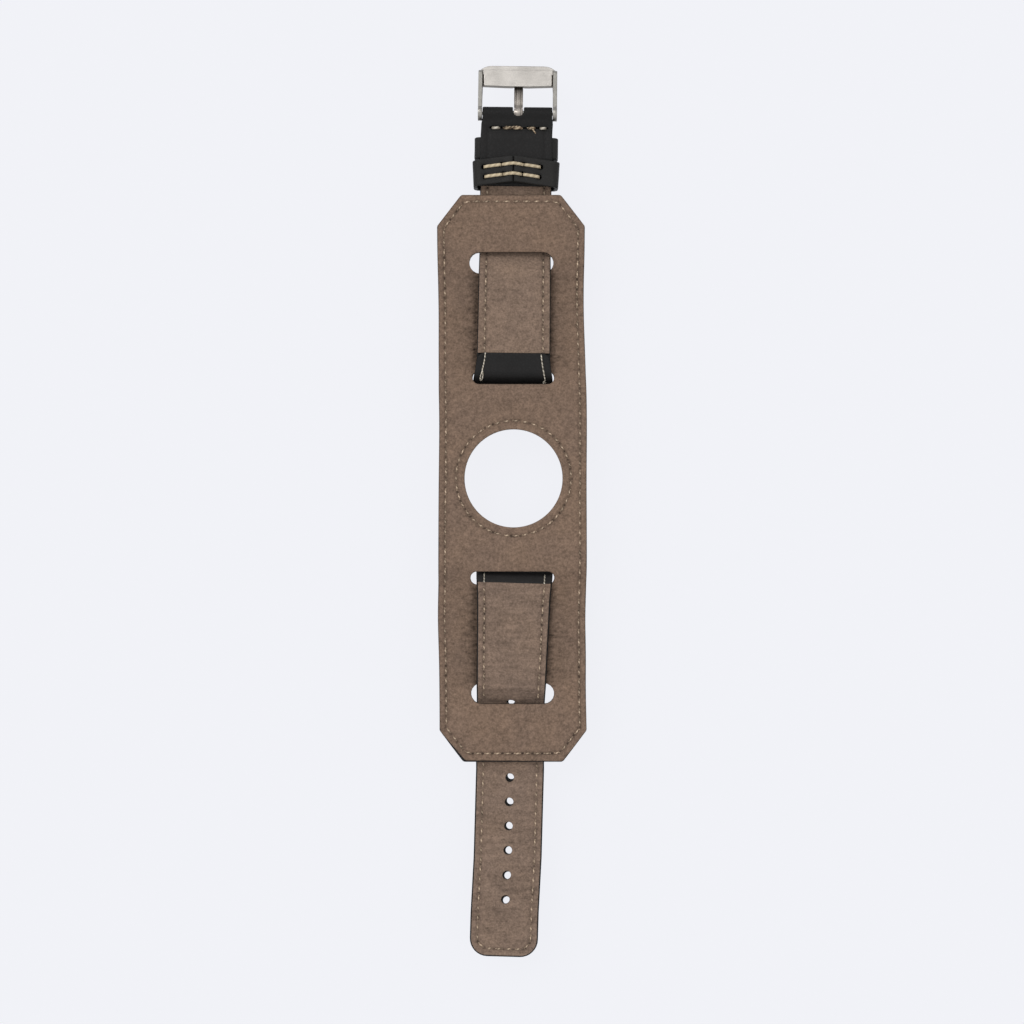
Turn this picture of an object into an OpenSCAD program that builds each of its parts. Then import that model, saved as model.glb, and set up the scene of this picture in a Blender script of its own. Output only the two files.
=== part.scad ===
// Bund watch strap, lying lining side up, as it lies flat on a table with no watch in it.
// Two leather straps weave through four slots of a wide wrist pad. The watch sits on the
// outer face of the pad, over the round opening, held by spring bars in the two lug loops.
// X runs across the strap, +Y towards the buckle and +Z towards the wrist. The origin is the
// centre of the watch opening, on the outer face of the pad. Sizes are in millimetres.

/* [Pad] */
// Width of the wrist pad
pad_w = 38; // [35:0.5:44]
// Length of the wrist pad
pad_l = 145.4; // [138:0.2:156]
// Thickness of the pad's outer leather
pad_leather_t = 0.9; // [0.7:0.05:1.1]
// Thickness of the stiffener inside the pad
pad_stiffener_t = 0.3; // [0.2:0.05:0.4]
// Thickness of the pad's lining
pad_lining_t = 0.7; // [0.5:0.05:0.9]
// Width of each cut corner of the pad
corner_w = 6.2; // [4:0.1:8]
// Length of each cut corner of the pad
corner_l = 7.9; // [5:0.1:10]
// Diameter of the round opening behind the watch
opening_d = 25.2; // [22:0.1:26]
// Distance from the opening's centre to the near edge of each inner slot
inner_slot_reach = 24.2; // [23.5:0.1:27]
// Height of each inner slot, along the pad
inner_slot_h = 3.4; // [3.3:0.05:3.9]
// Height of each outer slot, along the pad
outer_slot_h = 5.25; // [4.8:0.05:6]
// Leather left between each outer slot and the pad's end
outer_slot_margin = 14.7; // [13:0.05:17]
// Distance of the pad's seams from its edges
pad_seam_inset = 1.8; // [1.4:0.1:2.4]
// Distance of the opening's seam from its edge
opening_seam_inset = 2.2; // [1.8:0.1:2.6]

/* [Straps] */
// Width of both straps at the watch lugs
lug_w = 20; // [19:0.2:22]
// Width of both straps where their lug flaps end
waist_w = 18.9; // [18.4:0.1:20]
// Width of the buckle strap past the pad
buckle_strap_w = 18.4; // [18.2:0.1:19]
// Width of the tail strap past the pad
tail_w = 17.6; // [16:0.1:18.4]
// Thickness of the straps' outer leather
leather_t = 0.85; // [0.7:0.05:0.95]
// Thickness of the stiffener inside the straps
stiffener_t = 0.3; // [0.2:0.05:0.4]
// Thickness of the straps' lining
lining_t = 0.8; // [0.6:0.05:0.9]
// Distance of the straps' seams from their edges
seam_inset = 1.9; // [1.6:0.1:2.4]
// Distance from the opening's centre to the buckle strap's lug bar
buckle_lug_reach = 20.7; // [19.5:0.1:21.5]
// Distance from the opening's edge to the tail strap's lug bar
tail_lug_gap = 4; // [3.8:0.1:7]
// Radius of the two lug loops' bores
lug_bore_r = 0.9; // [0.75:0.05:1.05]
// Distance from the opening's centre to the end of the buckle strap's turned-back lug flap
buckle_lug_flap = 32.2; // [30:0.1:36]
// Distance from the opening's centre to the end of the tail strap's turned-back lug flap
tail_lug_flap = 27.1; // [26.6:0.1:33]
// Length of the tail past the pad
tail_reach = 50.7; // [44:0.1:60]
// Radius of the tail's two corners
tail_corner_r = 4.6; // [3:0.1:6]
// Angle that the buckle strap leans to the right
buckle_lean = 0.67; // [0:0.01:1.2]
// Angle that the tail strap leans to the left
tail_lean = 1.66; // [0:0.01:2]

/* [Tail holes] */
// Number of holes in the tail
hole_count = 9; // [5:1:9]
// Distance from one hole to the next
hole_pitch = 6.28; // [5.8:0.02:6.4]
// Diameter of each hole
hole_d = 2.05; // [1.8:0.05:2.4]
// Distance from the tail's tip to its last hole
hole_margin = 14.7; // [13:0.1:18]

/* [Keepers] */
// Thickness of the keepers' leather
keeper_t = 1.1; // [0.9:0.05:1.3]
// Width of the fixed keeper, along the strap
fixed_keeper_w = 5.5; // [4.5:0.1:6]
// Width of the sliding keeper, along the strap
sliding_keeper_w = 6.7; // [6:0.1:8]
// Room between the two keepers
keeper_room = 0.85; // [0.7:0.05:1.5]
// Thickness of the fixed keeper's thinned ends, between the lining and the fold
keeper_end_t = 0.6; // [0.4:0.05:0.8]
// How far the sliding keeper's ends lean towards the buckle where they meet
keeper_chevron = 1.45; // [0.4:0.05:1.6]
// How far the sliding keeper's ends lift where they meet
keeper_lift = 0.6; // [0.3:0.1:1]
// Distance from the sliding keeper's middle to the joint of its ends
keeper_joint_x = -0.7; // [-1.5:0.1:1.5]

/* [Buckle] */
// Distance from the pad's end to the buckle's spring bar
bar_reach = 21.1; // [20.6:0.1:24]
// Inside width of the buckle frame
buckle_w = 18.16; // [17.9:0.02:18.18]
// Width of each side arm of the frame
arm_w = 1.08; // [1:0.02:1.5]
// Distance from the spring bar to the outer edge of the front plate
frame_reach = 13.2; // [11.8:0.1:14]
// Width of the front plate, along the strap
plate_w = 5.5; // [4.8:0.1:6]
// Thickness of the front plate
plate_t = 1.3; // [1:0.05:1.6]
// Thickness of the tongue
tongue_t = 0.7; // [0.6:0.05:0.8]
// Width of the tongue
tongue_w = 2.3; // [2:0.05:2.6]
// How far the tongue sits to the right of the strap's middle
tongue_x = 0.25; // [0:0.05:0.4]
// Radius of the spring bar's tube
tube_r = 0.75; // [0.7:0.01:0.8]

/* [Hidden] */

black = [0.15, 0.15, 0.15];
taupe = [0.49, 0.41, 0.36];
cream = [0.75, 0.68, 0.56];
fibre = [0.55, 0.48, 0.38];
steel = [0.80, 0.79, 0.77];

round_fn = 96;       // facets of a circle that is kept as a true circle
bend_steps = 6;      // straight pieces in each bend of a strap
arc_steps = 8;       // straight pieces in each rounded corner and loop
wave_steps = 7;      // straight pieces in each slope of the pad
far = 200;           // longer than the strap on both sides
tall = 20;           // taller than the strap lies

seat = 0.05;         // air between a piece and what it rests on
// Air between a strap's middle and each edge of an inner slot, as the strap's sides lean in
slot_gap = 2 * seat + lug_w / 2 * 0.85 * sin(max(buckle_lean, tail_lean));
thread_room = 0.55;  // room for the pad's seams between the pad's ends and the straps
slot_side_gap = 0.75;
tail_lug_reach = opening_d / 2 + tail_lug_gap;

pad_t = pad_leather_t + pad_stiffener_t + pad_lining_t;
strap_t = leather_t + stiffener_t + lining_t;
half_t = strap_t / 2;

lug_r = lug_bore_r + leather_t;
lug_z = -seat - lug_r;
floor_z = lug_z - lug_r - 0.35;                      // the table that everything lies on

// The pad's outer face, from the opening to its end, as [distance, height] stations
pad_end = pad_l / 2;
flat_reach = opening_d / 2 + 1.2;
inner_slot_end = inner_slot_reach + inner_slot_h;
outer_slot_end = pad_end - outer_slot_margin;
outer_slot_reach = outer_slot_end - outer_slot_h;
crest_z = 0.5;
trough_z = -1.6;
keeper_gap = strap_t + 0.25;                         // room for the tail in the keepers
strap_face_z = floor_z + keeper_t + keeper_gap;      // the strap's outer face at the keepers
rise_end = 4;        // where the buckle strap stops rising, past the pad's end
buckle_end_z = strap_face_z + strap_t + thread_room - 0.45;
tail_end_z = floor_z + strap_t + 2 * thread_room;
near_stations = [
    [0, 0], [flat_reach, 0],
    [inner_slot_reach - 1.8, crest_z], [inner_slot_end, trough_z],
    [outer_slot_reach - 2.8, trough_z]
];
buckle_stations = concat(near_stations, [[outer_slot_end + 1.95, crest_z], [pad_end, buckle_end_z]]);
tail_stations = concat(near_stations, [[outer_slot_end + 1.95, tail_end_z], [pad_end, tail_end_z]]);

function ease(t) = t * t * (3 - 2 * t);
function station_z(s, y, i = 0) =
    i >= len(s) - 2 || y <= s[i + 1][0]
        ? s[i][1] + (s[i + 1][1] - s[i][1])
            * ease(min(1, max(0, (y - s[i][0]) / (s[i + 1][0] - s[i][0]))))
        : station_z(s, y, i + 1);
function station_slope(s, y) = (station_z(s, y + 0.05) - station_z(s, y - 0.05)) / 0.1;

// A point of the pad at distance y from the opening, depth d above its outer face
function pad_point(s, y, d) = let (m = station_slope(s, y), n = sqrt(1 + m * m))
    [y - d * m / n, station_z(s, y) + d / n];
function station_ys(s) = [
    for (i = [0:len(s) - 2])
        let (n = s[i][1] == s[i + 1][1] ? 1 : wave_steps)
        for (k = [1:n]) s[i][0] + (s[i + 1][0] - s[i][0]) * k / n
];
function pad_side(s, d) = [for (y = station_ys(s)) pad_point(s, y, d)];
function pad_face(d) = concat(
    [for (p = reversed(pad_side(tail_stations, d))) [-p[0], p[1]]],
    pad_side(buckle_stations, d)
);
function reversed(v) = [for (i = [len(v) - 1:-1:0]) v[i]];

// Geometry of paths in a plane
function along(a, b) = (b - a) / norm(b - a);
function left_of(u) = [-u[1], u[0]];
function turned(v, a) = [v[0] * cos(a) - v[1] * sin(a), v[0] * sin(a) + v[1] * cos(a)];
function at_angle(c, r, a) = c + r * [cos(a), sin(a)];
function arc(c, r, a, b, n = arc_steps) = [for (k = [0:n]) at_angle(c, r, a + (b - a) * k / n)];
function bend(a, b, c, r, d) =
    let (u = along(a, b), v = along(b, c),
         turn = atan2(u[0] * v[1] - u[1] * v[0], u * v), s = sign(turn),
         centre = b - u * r * tan(abs(turn) / 2) + left_of(u) * s * r)
    [for (k = [0:bend_steps]) centre - (s * r - d) * turned(left_of(u), turn * k / bend_steps)];
// The path q, its corners rounded by r, moved by d to its left
function run(q, r, d) = let (n = len(q) - 1) concat(
    [q[0] + left_of(along(q[0], q[1])) * d],
    [for (i = [1:n - 1]) each bend(q[i - 1], q[i], q[i + 1], r[i], d)],
    [q[n] + left_of(along(q[n - 1], q[n])) * d]
);
function height_at(p, y, i = 0) =
    i >= len(p) - 2 || y <= p[i + 1][0]
        ? p[i][1] + (p[i + 1][1] - p[i][1]) * (y - p[i][0]) / (p[i + 1][0] - p[i][0])
        : height_at(p, y, i + 1);
function part_of(p, from, to) = concat(
    [[from, height_at(p, from)]],
    [for (v = p) if (v[0] > from + 0.001 && v[0] < to - 0.001) v],
    [[to, height_at(p, to)]]
);
// The point where a line from p touches a circle, on the side that side (1 or -1) says
function touch(p, c, r, side) = let (v = p - c, a = atan2(v[1], v[0]) + side * acos(r / norm(v)))
    at_angle(c, r, a);
function angle_of(p, c) = atan2(p[1] - c[1], p[0] - c[0]);

// How steeply a strap climbs from below corner a to above corner b with the room asked for
function crossing(a, b, room) = asin(room / norm(b - a)) + atan2(b[1] - a[1], b[0] - a[0]);
function meet(p, angle, z) = [p[0] + (z - p[1]) / tan(angle), z];
function flipped(p) = [p[0], -p[1]];

// Corners of a strap's path, from its lug loop up through the inner slot, over the pad and
// down through the outer slot
inner_room = strap_t + 2 * slot_gap;
outer_room = strap_t + 0.8;
function weave(s, lug_y, low_z) =
    let (under = pad_side(s, 0), over = pad_side(s, pad_t),
         a = [inner_slot_reach, height_at(under, inner_slot_reach)],
         b = [inner_slot_end, height_at(over, inner_slot_end)],
         c = [outer_slot_reach, height_at(over, outer_slot_reach)],
         d = [outer_slot_end, height_at(under, outer_slot_end)],
         up = crossing(a, b, inner_room),
         down = crossing(flipped(c), flipped(d), outer_room),
         exit = d - (half_t + slot_gap) * [sin(down), cos(down)],
         near_z = b[1] + half_t + slot_gap,
         far_z = c[1] + half_t + 2 * slot_gap)
    [[lug_y, lug_z], meet((a + b) / 2, up, lug_z), meet((a + b) / 2, up, near_z),
     meet(exit, -down, far_z), meet(exit, -down, low_z)];

bar_y = pad_end + bar_reach;
strap_mid_z = strap_face_z + half_t;
under_z = -1.2;
buckle_path = concat(
    weave(buckle_stations, buckle_lug_reach, under_z),
    [[pad_end + rise_end, strap_mid_z], [bar_y, strap_mid_z]]
);
buckle_radii = [0, 1.9, 1.5, 3, 3.5, 6, 0];

tail_end = pad_end + tail_reach;
tail_mid_z = floor_z + half_t + thread_room;
tail_curl = 1.6;
tail_path = concat(
    weave(tail_stations, tail_lug_reach, tail_mid_z),
    [[pad_end + 18, tail_mid_z], [tail_end, tail_mid_z + tail_curl]]
);
tail_radii = [0, 1.9, 1.5, 2.6, 3, 120, 0];

// The fold that carries the spring bar at the buckle
fold_bore_r = tube_r + 0.1;
fold_r = fold_bore_r + leather_t;
flap_z = strap_face_z + strap_t;                     // underside of the turned-back leather
bar_z = strap_face_z + (strap_t + leather_t) / 2;
lining_end = bar_y - fold_bore_r - 0.9;
fold_w = buckle_w - 0.26;
fold_shoulder = bar_y - 2.2;

// Keepers
sliding_keeper_y = pad_end + 1.75;
fixed_keeper_y = sliding_keeper_y + sliding_keeper_w + keeper_room;
fixed_keeper_end = fixed_keeper_y + fixed_keeper_w;
flap_end = pad_end + 2.3;
bump_ramp = 2.2;
fixed_inner_w = buckle_strap_w + 0.9;
sliding_inner_w = buckle_strap_w + 1.8;
bump_z = flap_z + keeper_end_t + seat;

// The underside of the turned-back leather, which climbs over the fixed keeper's ends
flap_line = [
    [flap_end, flap_z], [fixed_keeper_y - bump_ramp, flap_z], [fixed_keeper_y - 0.1, bump_z],
    [fixed_keeper_end + 0.1, bump_z], [fixed_keeper_end + bump_ramp, flap_z], [lining_end, flap_z]
];

// Buckle, in its own frame: the bar at the origin, the plate towards +Y, its front towards -Z
tongue_bore_r = tube_r + 0.07;
tongue_r = tongue_bore_r + tongue_t;
tongue_reach = frame_reach - 0.8;
plate_front = -tongue_bore_r - 0.13;
boss_r = 1.9;
pin_r = 0.42;
pin_gap = 0.06;
arm_back = 1.1;
// The tilt at which the tongue's tip rests on the table
rest_drop = bar_z - floor_z - 0.03;
buckle_tilt = asin(rest_drop / norm([tongue_reach, tongue_r])) - atan2(tongue_r, tongue_reach);
notch_w = tongue_w + 0.5;

// Spring bar
tube_wall = 0.2;
tube_half = buckle_w / 2 - 0.48;
crimp_l = 0.3;
collar_l = 0.7;
collar_x = tube_half - crimp_l - collar_l - 0.03;
pin_tip = buckle_w / 2 + arm_w - 0.2;
spring_turns = 18;
spring_wire_r = 0.09;
spring_r = tube_r - tube_wall - spring_wire_r - 0.06;

// Stitches
thread_r = 0.2;
coarse_thread_r = 0.37;
fold_thread_r = 0.32;
fold_pitch = 2.8;
pad_pitch = 2.55;
strap_pitch = 2.45;
opening_pitch = 2.4;
stitch_share = 0.68;

module buckle_side() {
    y = inner_slot_reach + inner_slot_h / 2;
    translate([0.2, y, 0]) rotate([0, 0, -buckle_lean]) translate([0, -y, 0]) children();
}

module tail_side() {
    y = -inner_slot_reach - inner_slot_h / 2;
    translate([0.2, y, 0]) rotate([0, 0, -tail_lean]) translate([0, -y, 0]) children();
}

module at_buckle() {
    buckle_side() translate([0, bar_y, bar_z]) rotate([-buckle_tilt, 0, 0]) children();
}

// A side view, drawn as [y, z] points, made into a solid as wide as w
module across(w) {
    rotate([90, 0, 90]) translate([0, 0, -w / 2]) linear_extrude(w) children();
}

// A plan, drawn as [x, y] points, made into a tall solid
module upright() {
    translate([0, 0, -tall]) linear_extrude(2 * tall) children();
}

// Runs a round bar along X
module bar_x(r, from, to) {
    translate([from, 0, 0]) rotate([0, 90, 0]) cylinder(h = to - from, r = r, $fn = round_fn);
}

// Pad

function octagon(inset) =
    let (x = pad_w / 2 - inset, y = pad_l / 2 - inset,
         lean = corner_l / corner_w, side = sqrt(1 + lean * lean),
         cut_x = corner_w - inset * (1 + lean - side) / lean,
         cut_y = corner_l - inset * (1 + lean - side))
    [[x, y - cut_y], [x - cut_x, y], [-x + cut_x, y], [-x, y - cut_y],
     [-x, -y + cut_y], [-x + cut_x, -y], [x - cut_x, -y], [x, -y + cut_y]];

module slot_plan(w, y1, y2) {
    r = (y2 - y1) / 2;
    polygon(concat(
        arc([w / 2 - r, y1 + r], r, -90, 90, 12),
        arc([-w / 2 + r, y1 + r], r, 90, 270, 12)
    ));
}

module pad_plan(inset, slot_grow) {
    slot_w = lug_w + 2 * slot_side_gap + 2 * slot_grow;
    difference() {
        polygon(octagon(inset));
        for (side = [0, 1]) mirror([0, side]) {
            slot_plan(slot_w, inner_slot_reach - slot_grow, inner_slot_end + slot_grow);
            slot_plan(slot_w, outer_slot_reach - slot_grow, outer_slot_end + slot_grow);
        }
    }
}

module pad_layer(from, to, inset = 0, grow = 0) {
    difference() {
        intersection() {
            across(pad_w + 2) polygon(concat(pad_face(from), reversed(pad_face(to))));
            upright() pad_plan(inset, grow);
        }
        translate([0, 0, -tall])
            cylinder(h = 2 * tall, r = opening_d / 2 + grow, $fn = round_fn);
    }
}

module pad_leather() {
    color(black) pad_layer(0, pad_leather_t);
}

module pad_stiffener() {
    color(fibre) pad_layer(pad_leather_t, pad_leather_t + pad_stiffener_t, 2 * pad_seam_inset, 1.2);
}

module pad_lining() {
    color(taupe) difference() {
        pad_layer(pad_leather_t, pad_t);
        pad_stiffener();
    }
}

// Straps

// The rounded side view of a lug loop, from its lower touch point to its upper one
function lug_line(q, r, side) = let (line = run(q, r, side * half_t), n = len(line) - 1)
    concat([touch(line[1], q[0], lug_r, side)], [for (i = [1:n]) line[i]]);
function lug_arc(q, r) =
    let (a = angle_of(lug_line(q, r, -1)[0], q[0]), b = angle_of(lug_line(q, r, 1)[0], q[0]))
    arc(q[0], lug_r, a, b - 360, 2 * arc_steps);

// The right edge of a strap from the lug to the outer slot: it narrows fast to its waist at the
// end of the lug flap, and then slowly
waist_y = inner_slot_end + 3.4;
function strap_edge(w, inset) = [
    [lug_w / 2 - inset, 0], [lug_w / 2 - inset, inner_slot_reach - 2],
    [waist_w / 2 - inset, waist_y], [w / 2 - inset, outer_slot_end]
];
function tapered(w, y) = let (e = strap_edge(w, 0), k = y < waist_y ? 1 : 2,
        t = min(1, max(0, (y - e[k][1]) / (e[k + 1][1] - e[k][1]))))
    e[k][0] + (e[k + 1][0] - e[k][0]) * t;

function buckle_leather_side() =
    let (low = run(buckle_path, buckle_radii, -half_t),
         mid = run(buckle_path, buckle_radii, leather_t - half_t),
         high = run(buckle_path, buckle_radii, half_t),
         n = len(low) - 1,
         c = [bar_y, bar_z],
         top = [lining_end, flap_z + leather_t],
         bottom = [lining_end, strap_face_z],
         a = angle_of(touch(top, c, fold_r, -1), c),
         b = angle_of(touch(bottom, c, fold_r, 1), c))
    concat(
        lug_arc(buckle_path, buckle_radii),
        [for (p = part_of(high, high[1][0], buckle_lug_flap)) p],
        part_of(mid, buckle_lug_flap, lining_end),
        reversed(flap_line),
        [for (p = flap_line) if (p[0] < lining_end) p + [0, leather_t]],
        [top],
        arc(c, fold_r, a, b, 2 * arc_steps),
        [bottom],
        reversed(part_of(low, low[1][0], lining_end - 0.2))
    );

module buckle_plan(inset) {
    shoulder = fold_shoulder;
    half = buckle_strap_w / 2 - inset;
    right = concat(strap_edge(buckle_strap_w, inset), [
        [half, shoulder], [fold_w / 2 - inset, shoulder + 0.4], [fold_w / 2 - inset, bar_y + 5]
    ]);
    polygon(concat(right, [for (p = reversed(right)) [-p[0], p[1]]]));
}

// A slot for the tongue, cut round at its back
module notch_plan(back) {
    x = notch_w / 2;
    polygon(concat([[x, far], [-x, far]], arc([0, bar_y - back + x], x, 180, 360, 12)));
}

module tongue_notch() {
    translate([tongue_x, 0, bar_z]) linear_extrude(tall) notch_plan(1);
    translate([tongue_x, 0, bar_z - tall]) linear_extrude(tall) notch_plan(tongue_r + 1.8);
    translate([tongue_x, bar_y, bar_z]) bar_x(tongue_r + 0.1, -notch_w / 2, notch_w / 2);
}

module buckle_strap_leather() {
    color(black) buckle_side() difference() {
        intersection() {
            across(lug_w + 4) polygon(buckle_leather_side());
            upright() buckle_plan(0);
        }
        translate([0, buckle_lug_reach, lug_z]) bar_x(lug_bore_r, -lug_w, lug_w);
        translate([0, bar_y, bar_z]) bar_x(fold_bore_r, -lug_w, lug_w);
        tongue_notch();
    }
}

module buckle_band(from, to, y1, y2, inset) {
    low = part_of(run(buckle_path, buckle_radii, from), y1, y2);
    high = part_of(run(buckle_path, buckle_radii, to), y1, y2);
    intersection() {
        across(lug_w + 4) polygon(concat(low, reversed(high)));
        upright() buckle_plan(inset);
    }
}

module buckle_stiffener_solid() {
    buckle_band(leather_t - half_t, leather_t + stiffener_t - half_t,
        buckle_lug_flap + 0.3, lining_end - 1.2, seam_inset + 0.8);
}

module buckle_strap_stiffener() {
    color(fibre) buckle_side() buckle_stiffener_solid();
}

lining_inset = 0.35;

module buckle_strap_lining() {
    color(taupe) buckle_side() difference() {
        buckle_band(leather_t - half_t, half_t, buckle_lug_flap + 0.02, lining_end - 0.02, lining_inset);
        buckle_stiffener_solid();
    }
}

function tail_leather_side() =
    let (low = run(tail_path, tail_radii, -half_t),
         mid = run(tail_path, tail_radii, leather_t - half_t),
         high = run(tail_path, tail_radii, half_t))
    concat(
        lug_arc(tail_path, tail_radii),
        part_of(high, high[1][0], tail_lug_flap),
        part_of(mid, tail_lug_flap, tail_end),
        reversed(part_of(low, low[1][0], tail_end))
    );

module tail_plan(inset) {
    half = tail_w / 2 - inset;
    end = tail_end - inset;
    r = tail_corner_r - inset;
    right = concat(strap_edge(tail_w, inset), arc([half - r, end - r], r, 0, 90));
    polygon(concat(right, [for (p = reversed(right)) [-p[0], p[1]]]));
}

module tail_holes(r) {
    for (i = [0:hole_count - 1])
        translate([0, tail_end - hole_margin - i * hole_pitch, floor_z - 1])
            cylinder(h = tall, r = r, $fn = round_fn);
}

module mirrored() {
    tail_side() rotate([0, 0, 180]) children();
}

module tail_strap_leather() {
    color(black) mirrored() difference() {
        intersection() {
            across(lug_w + 4) polygon(tail_leather_side());
            upright() tail_plan(0);
        }
        translate([0, tail_lug_reach, lug_z]) bar_x(lug_bore_r, -lug_w, lug_w);
        tail_holes(hole_d / 2);
    }
}

module tail_band(from, to, y1, y2, inset, hole_r) {
    low = part_of(run(tail_path, tail_radii, from), y1, y2);
    high = part_of(run(tail_path, tail_radii, to), y1, y2);
    difference() {
        intersection() {
            across(lug_w + 4) polygon(concat(low, reversed(high)));
            upright() tail_plan(inset);
        }
        tail_holes(hole_r);
    }
}

module tail_stiffener_solid() {
    tail_band(leather_t - half_t, leather_t + stiffener_t - half_t,
        tail_lug_flap + 0.3, tail_end, seam_inset + 0.8, hole_d / 2 + 0.6);
}

module tail_strap_stiffener() {
    color(fibre) mirrored() tail_stiffener_solid();
}

module tail_strap_lining() {
    color(taupe) mirrored() difference() {
        tail_band(leather_t - half_t, half_t, tail_lug_flap + 0.02, tail_end, lining_inset, hole_d / 2);
        tail_stiffener_solid();
    }
}

// Stitches

module thread(a, b, r) {
    v = b - a;
    translate(a) rotate([0, acos(v[2] / norm(v)), atan2(v[1], v[0])])
        cylinder(h = norm(v), r = r, $fn = 24);
}

// A row of stitches from [x, y] point a to b on a surface given by its [y, z] points.
// side is 1 for stitches on top of the surface and -1 for stitches under it.
module seam(a, b, pitch, line, side, r = thread_r) {
    n = max(1, round(norm(b - a) / pitch));
    for (i = [0:n - 1]) {
        p = a + (b - a) * (i + (1 - stitch_share) / 2) / n;
        q = a + (b - a) * (i + (1 + stitch_share) / 2) / n;
        m = (p + q) / 2;
        zp = height_at(line, p[1]);
        zq = height_at(line, q[1]);
        hump = max(0, side * (height_at(line, m[1]) - (zp + zq) / 2));
        steep = norm([1, (zq - zp) / max(0.4, abs(q[1] - p[1]))]);
        lift = side * (r * steep + hump + seat / 2);
        thread([p[0], p[1], zp + lift], [q[0], q[1], zq + lift], r);
    }
}

module pad_edge_stitches() {
    path = octagon(pad_seam_inset);
    color(cream) for (i = [0:7]) {
        a = path[i];
        b = path[(i + 1) % 8];
        seam(a, b, pad_pitch, pad_face(pad_t), 1);
        seam(a, b, pad_pitch, pad_face(0), -1);
    }
}

module opening_stitches() {
    r = opening_d / 2 + opening_seam_inset;
    n = round(2 * PI * r / opening_pitch);
    low = pad_face(0);
    high = pad_face(pad_t);
    color(cream) for (i = [0:n - 1]) {
        a = at_angle([0, 0], r, 360 * (i + 0.16) / n);
        b = at_angle([0, 0], r, 360 * (i + 0.84) / n);
        seam(a, b, 2 * opening_pitch, high, 1);
        seam(a, b, 2 * opening_pitch, low, -1);
    }
}

// The two side seams of a strap on one face, between two distances y1 and y2
module side_seams(w, y1, y2, line, side) {
    turn = outer_slot_end;
    for (s = [-1, 1]) {
        if (y1 < turn)
            seam([s * (tapered(w, y1) - seam_inset), y1],
                [s * (tapered(w, min(y2, turn)) - seam_inset), min(y2, turn)], strap_pitch, line, side);
        if (y2 > turn)
            seam([s * (w / 2 - seam_inset), max(y1, turn)],
                [s * (w / 2 - seam_inset), y2], strap_pitch, line, side);
    }
}

// The seams that show: on the outer face at the lug and past the outer slot, and on the lining
// between the slots and past the pad's end
module strap_seams(w, q, r, lug_y, y_low, y_high) {
    low = lug_line(q, r, -1);
    high = lug_line(q, r, 1);
    side_seams(w, lug_y + 2, inner_slot_reach - 1.2, low, -1);
    side_seams(w, q[4][0] + 0.8, y_low, low, -1);
    side_seams(w, inner_slot_end + 0.6, q[3][0] - 1.2, high, 1);
    side_seams(w, pad_end + 0.9, y_high, high, 1);
}

module buckle_strap_stitches() {
    color(cream) buckle_side()
        strap_seams(buckle_strap_w, buckle_path, buckle_radii, buckle_lug_reach,
            fixed_keeper_y - 0.6, flap_end - 0.3);
}

module fold_stitches() {
    y = fixed_keeper_end + bump_ramp + 0.15;
    top = [[y - 1, flap_z + leather_t], [y + 1, flap_z + leather_t]];
    bottom = [[y - 1, strap_face_z], [y + 1, strap_face_z]];
    half = buckle_strap_w / 2 - 2.1;
    color(cream) buckle_side() {
        seam([-half, y], [half, y], fold_pitch, top, 1, fold_thread_r);
        seam([-half, y], [half, y], fold_pitch, bottom, -1, fold_thread_r);
    }
}

module tail_strap_stitches() {
    low = run(tail_path, tail_radii, -half_t);
    high = run(tail_path, tail_radii, half_t);
    corner = tail_corner_r - seam_inset;
    end = tail_end - seam_inset - 0.3;
    x = tail_w / 2 - seam_inset;
    color(cream) mirrored() {
        strap_seams(tail_w, tail_path, tail_radii, tail_lug_reach, end - corner, end - corner);
        for (face = [[high, 1], [low, -1]]) {
            for (s = [-1, 1])
                seam([s * x, end - corner], [s * (x - corner), end], strap_pitch, face[0], face[1]);
            seam([corner - x, end], [x - corner, end], strap_pitch, face[0], face[1]);
        }
    }
}

// Keepers

function round_box(x, z1, z2, r) = concat(
    arc([x - r, z1 + r], r, -90, 0), arc([x - r, z2 - r], r, 0, 90),
    arc([-x + r, z2 - r], r, 90, 180), arc([-x + r, z1 + r], r, 180, 270)
);

// An end view, drawn as [x, z] points, made into a solid from y1 to y2
module along_y(y1, y2) {
    translate([0, y2, 0]) rotate([90, 0, 0]) linear_extrude(y2 - y1) children();
}

module fixed_keeper() {
    x = fixed_inner_w / 2;
    top = flap_z + keeper_end_t;
    color(black) buckle_side() along_y(fixed_keeper_y, fixed_keeper_end) difference() {
        polygon(round_box(x + keeper_t, floor_z, top, 1.4));
        polygon(round_box(x, floor_z + keeper_t, flap_z, 0.7));
    }
}

// The sliding keeper's inner outline: flat at the bottom, lifted to a ridge where its ends meet
function keeper_inner(x, z1, z2, lift, r) = concat(
    arc([x - r, z1 + r], r, -90, 0), arc([x - r, z2 - r], r, 0, 80),
    [[keeper_joint_x, z2 + lift]],
    arc([-x + r, z2 - r], r, 100, 180), arc([-x + r, z1 + r], r, 180, 270)
);

keeper_back_z = bump_z + leather_t + 0.15;
joint_gap = 0.16;

module keeper_loop(y1, y2) {
    x = sliding_inner_w / 2;
    along_y(y1, y2) difference() {
        polygon(keeper_inner(x + keeper_t, floor_z, keeper_back_z + keeper_t, keeper_lift, 1.8));
        polygon(keeper_inner(x, floor_z + keeper_t, keeper_back_z, keeper_lift, 0.8));
    }
}

module chevron_plan(x, y1, y2, rise) {
    mid = keeper_joint_x;
    polygon([[-x, y1], [mid, y1 + rise], [x, y1], [x, y2], [mid, y2 + rise], [-x, y2]]);
}

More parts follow.
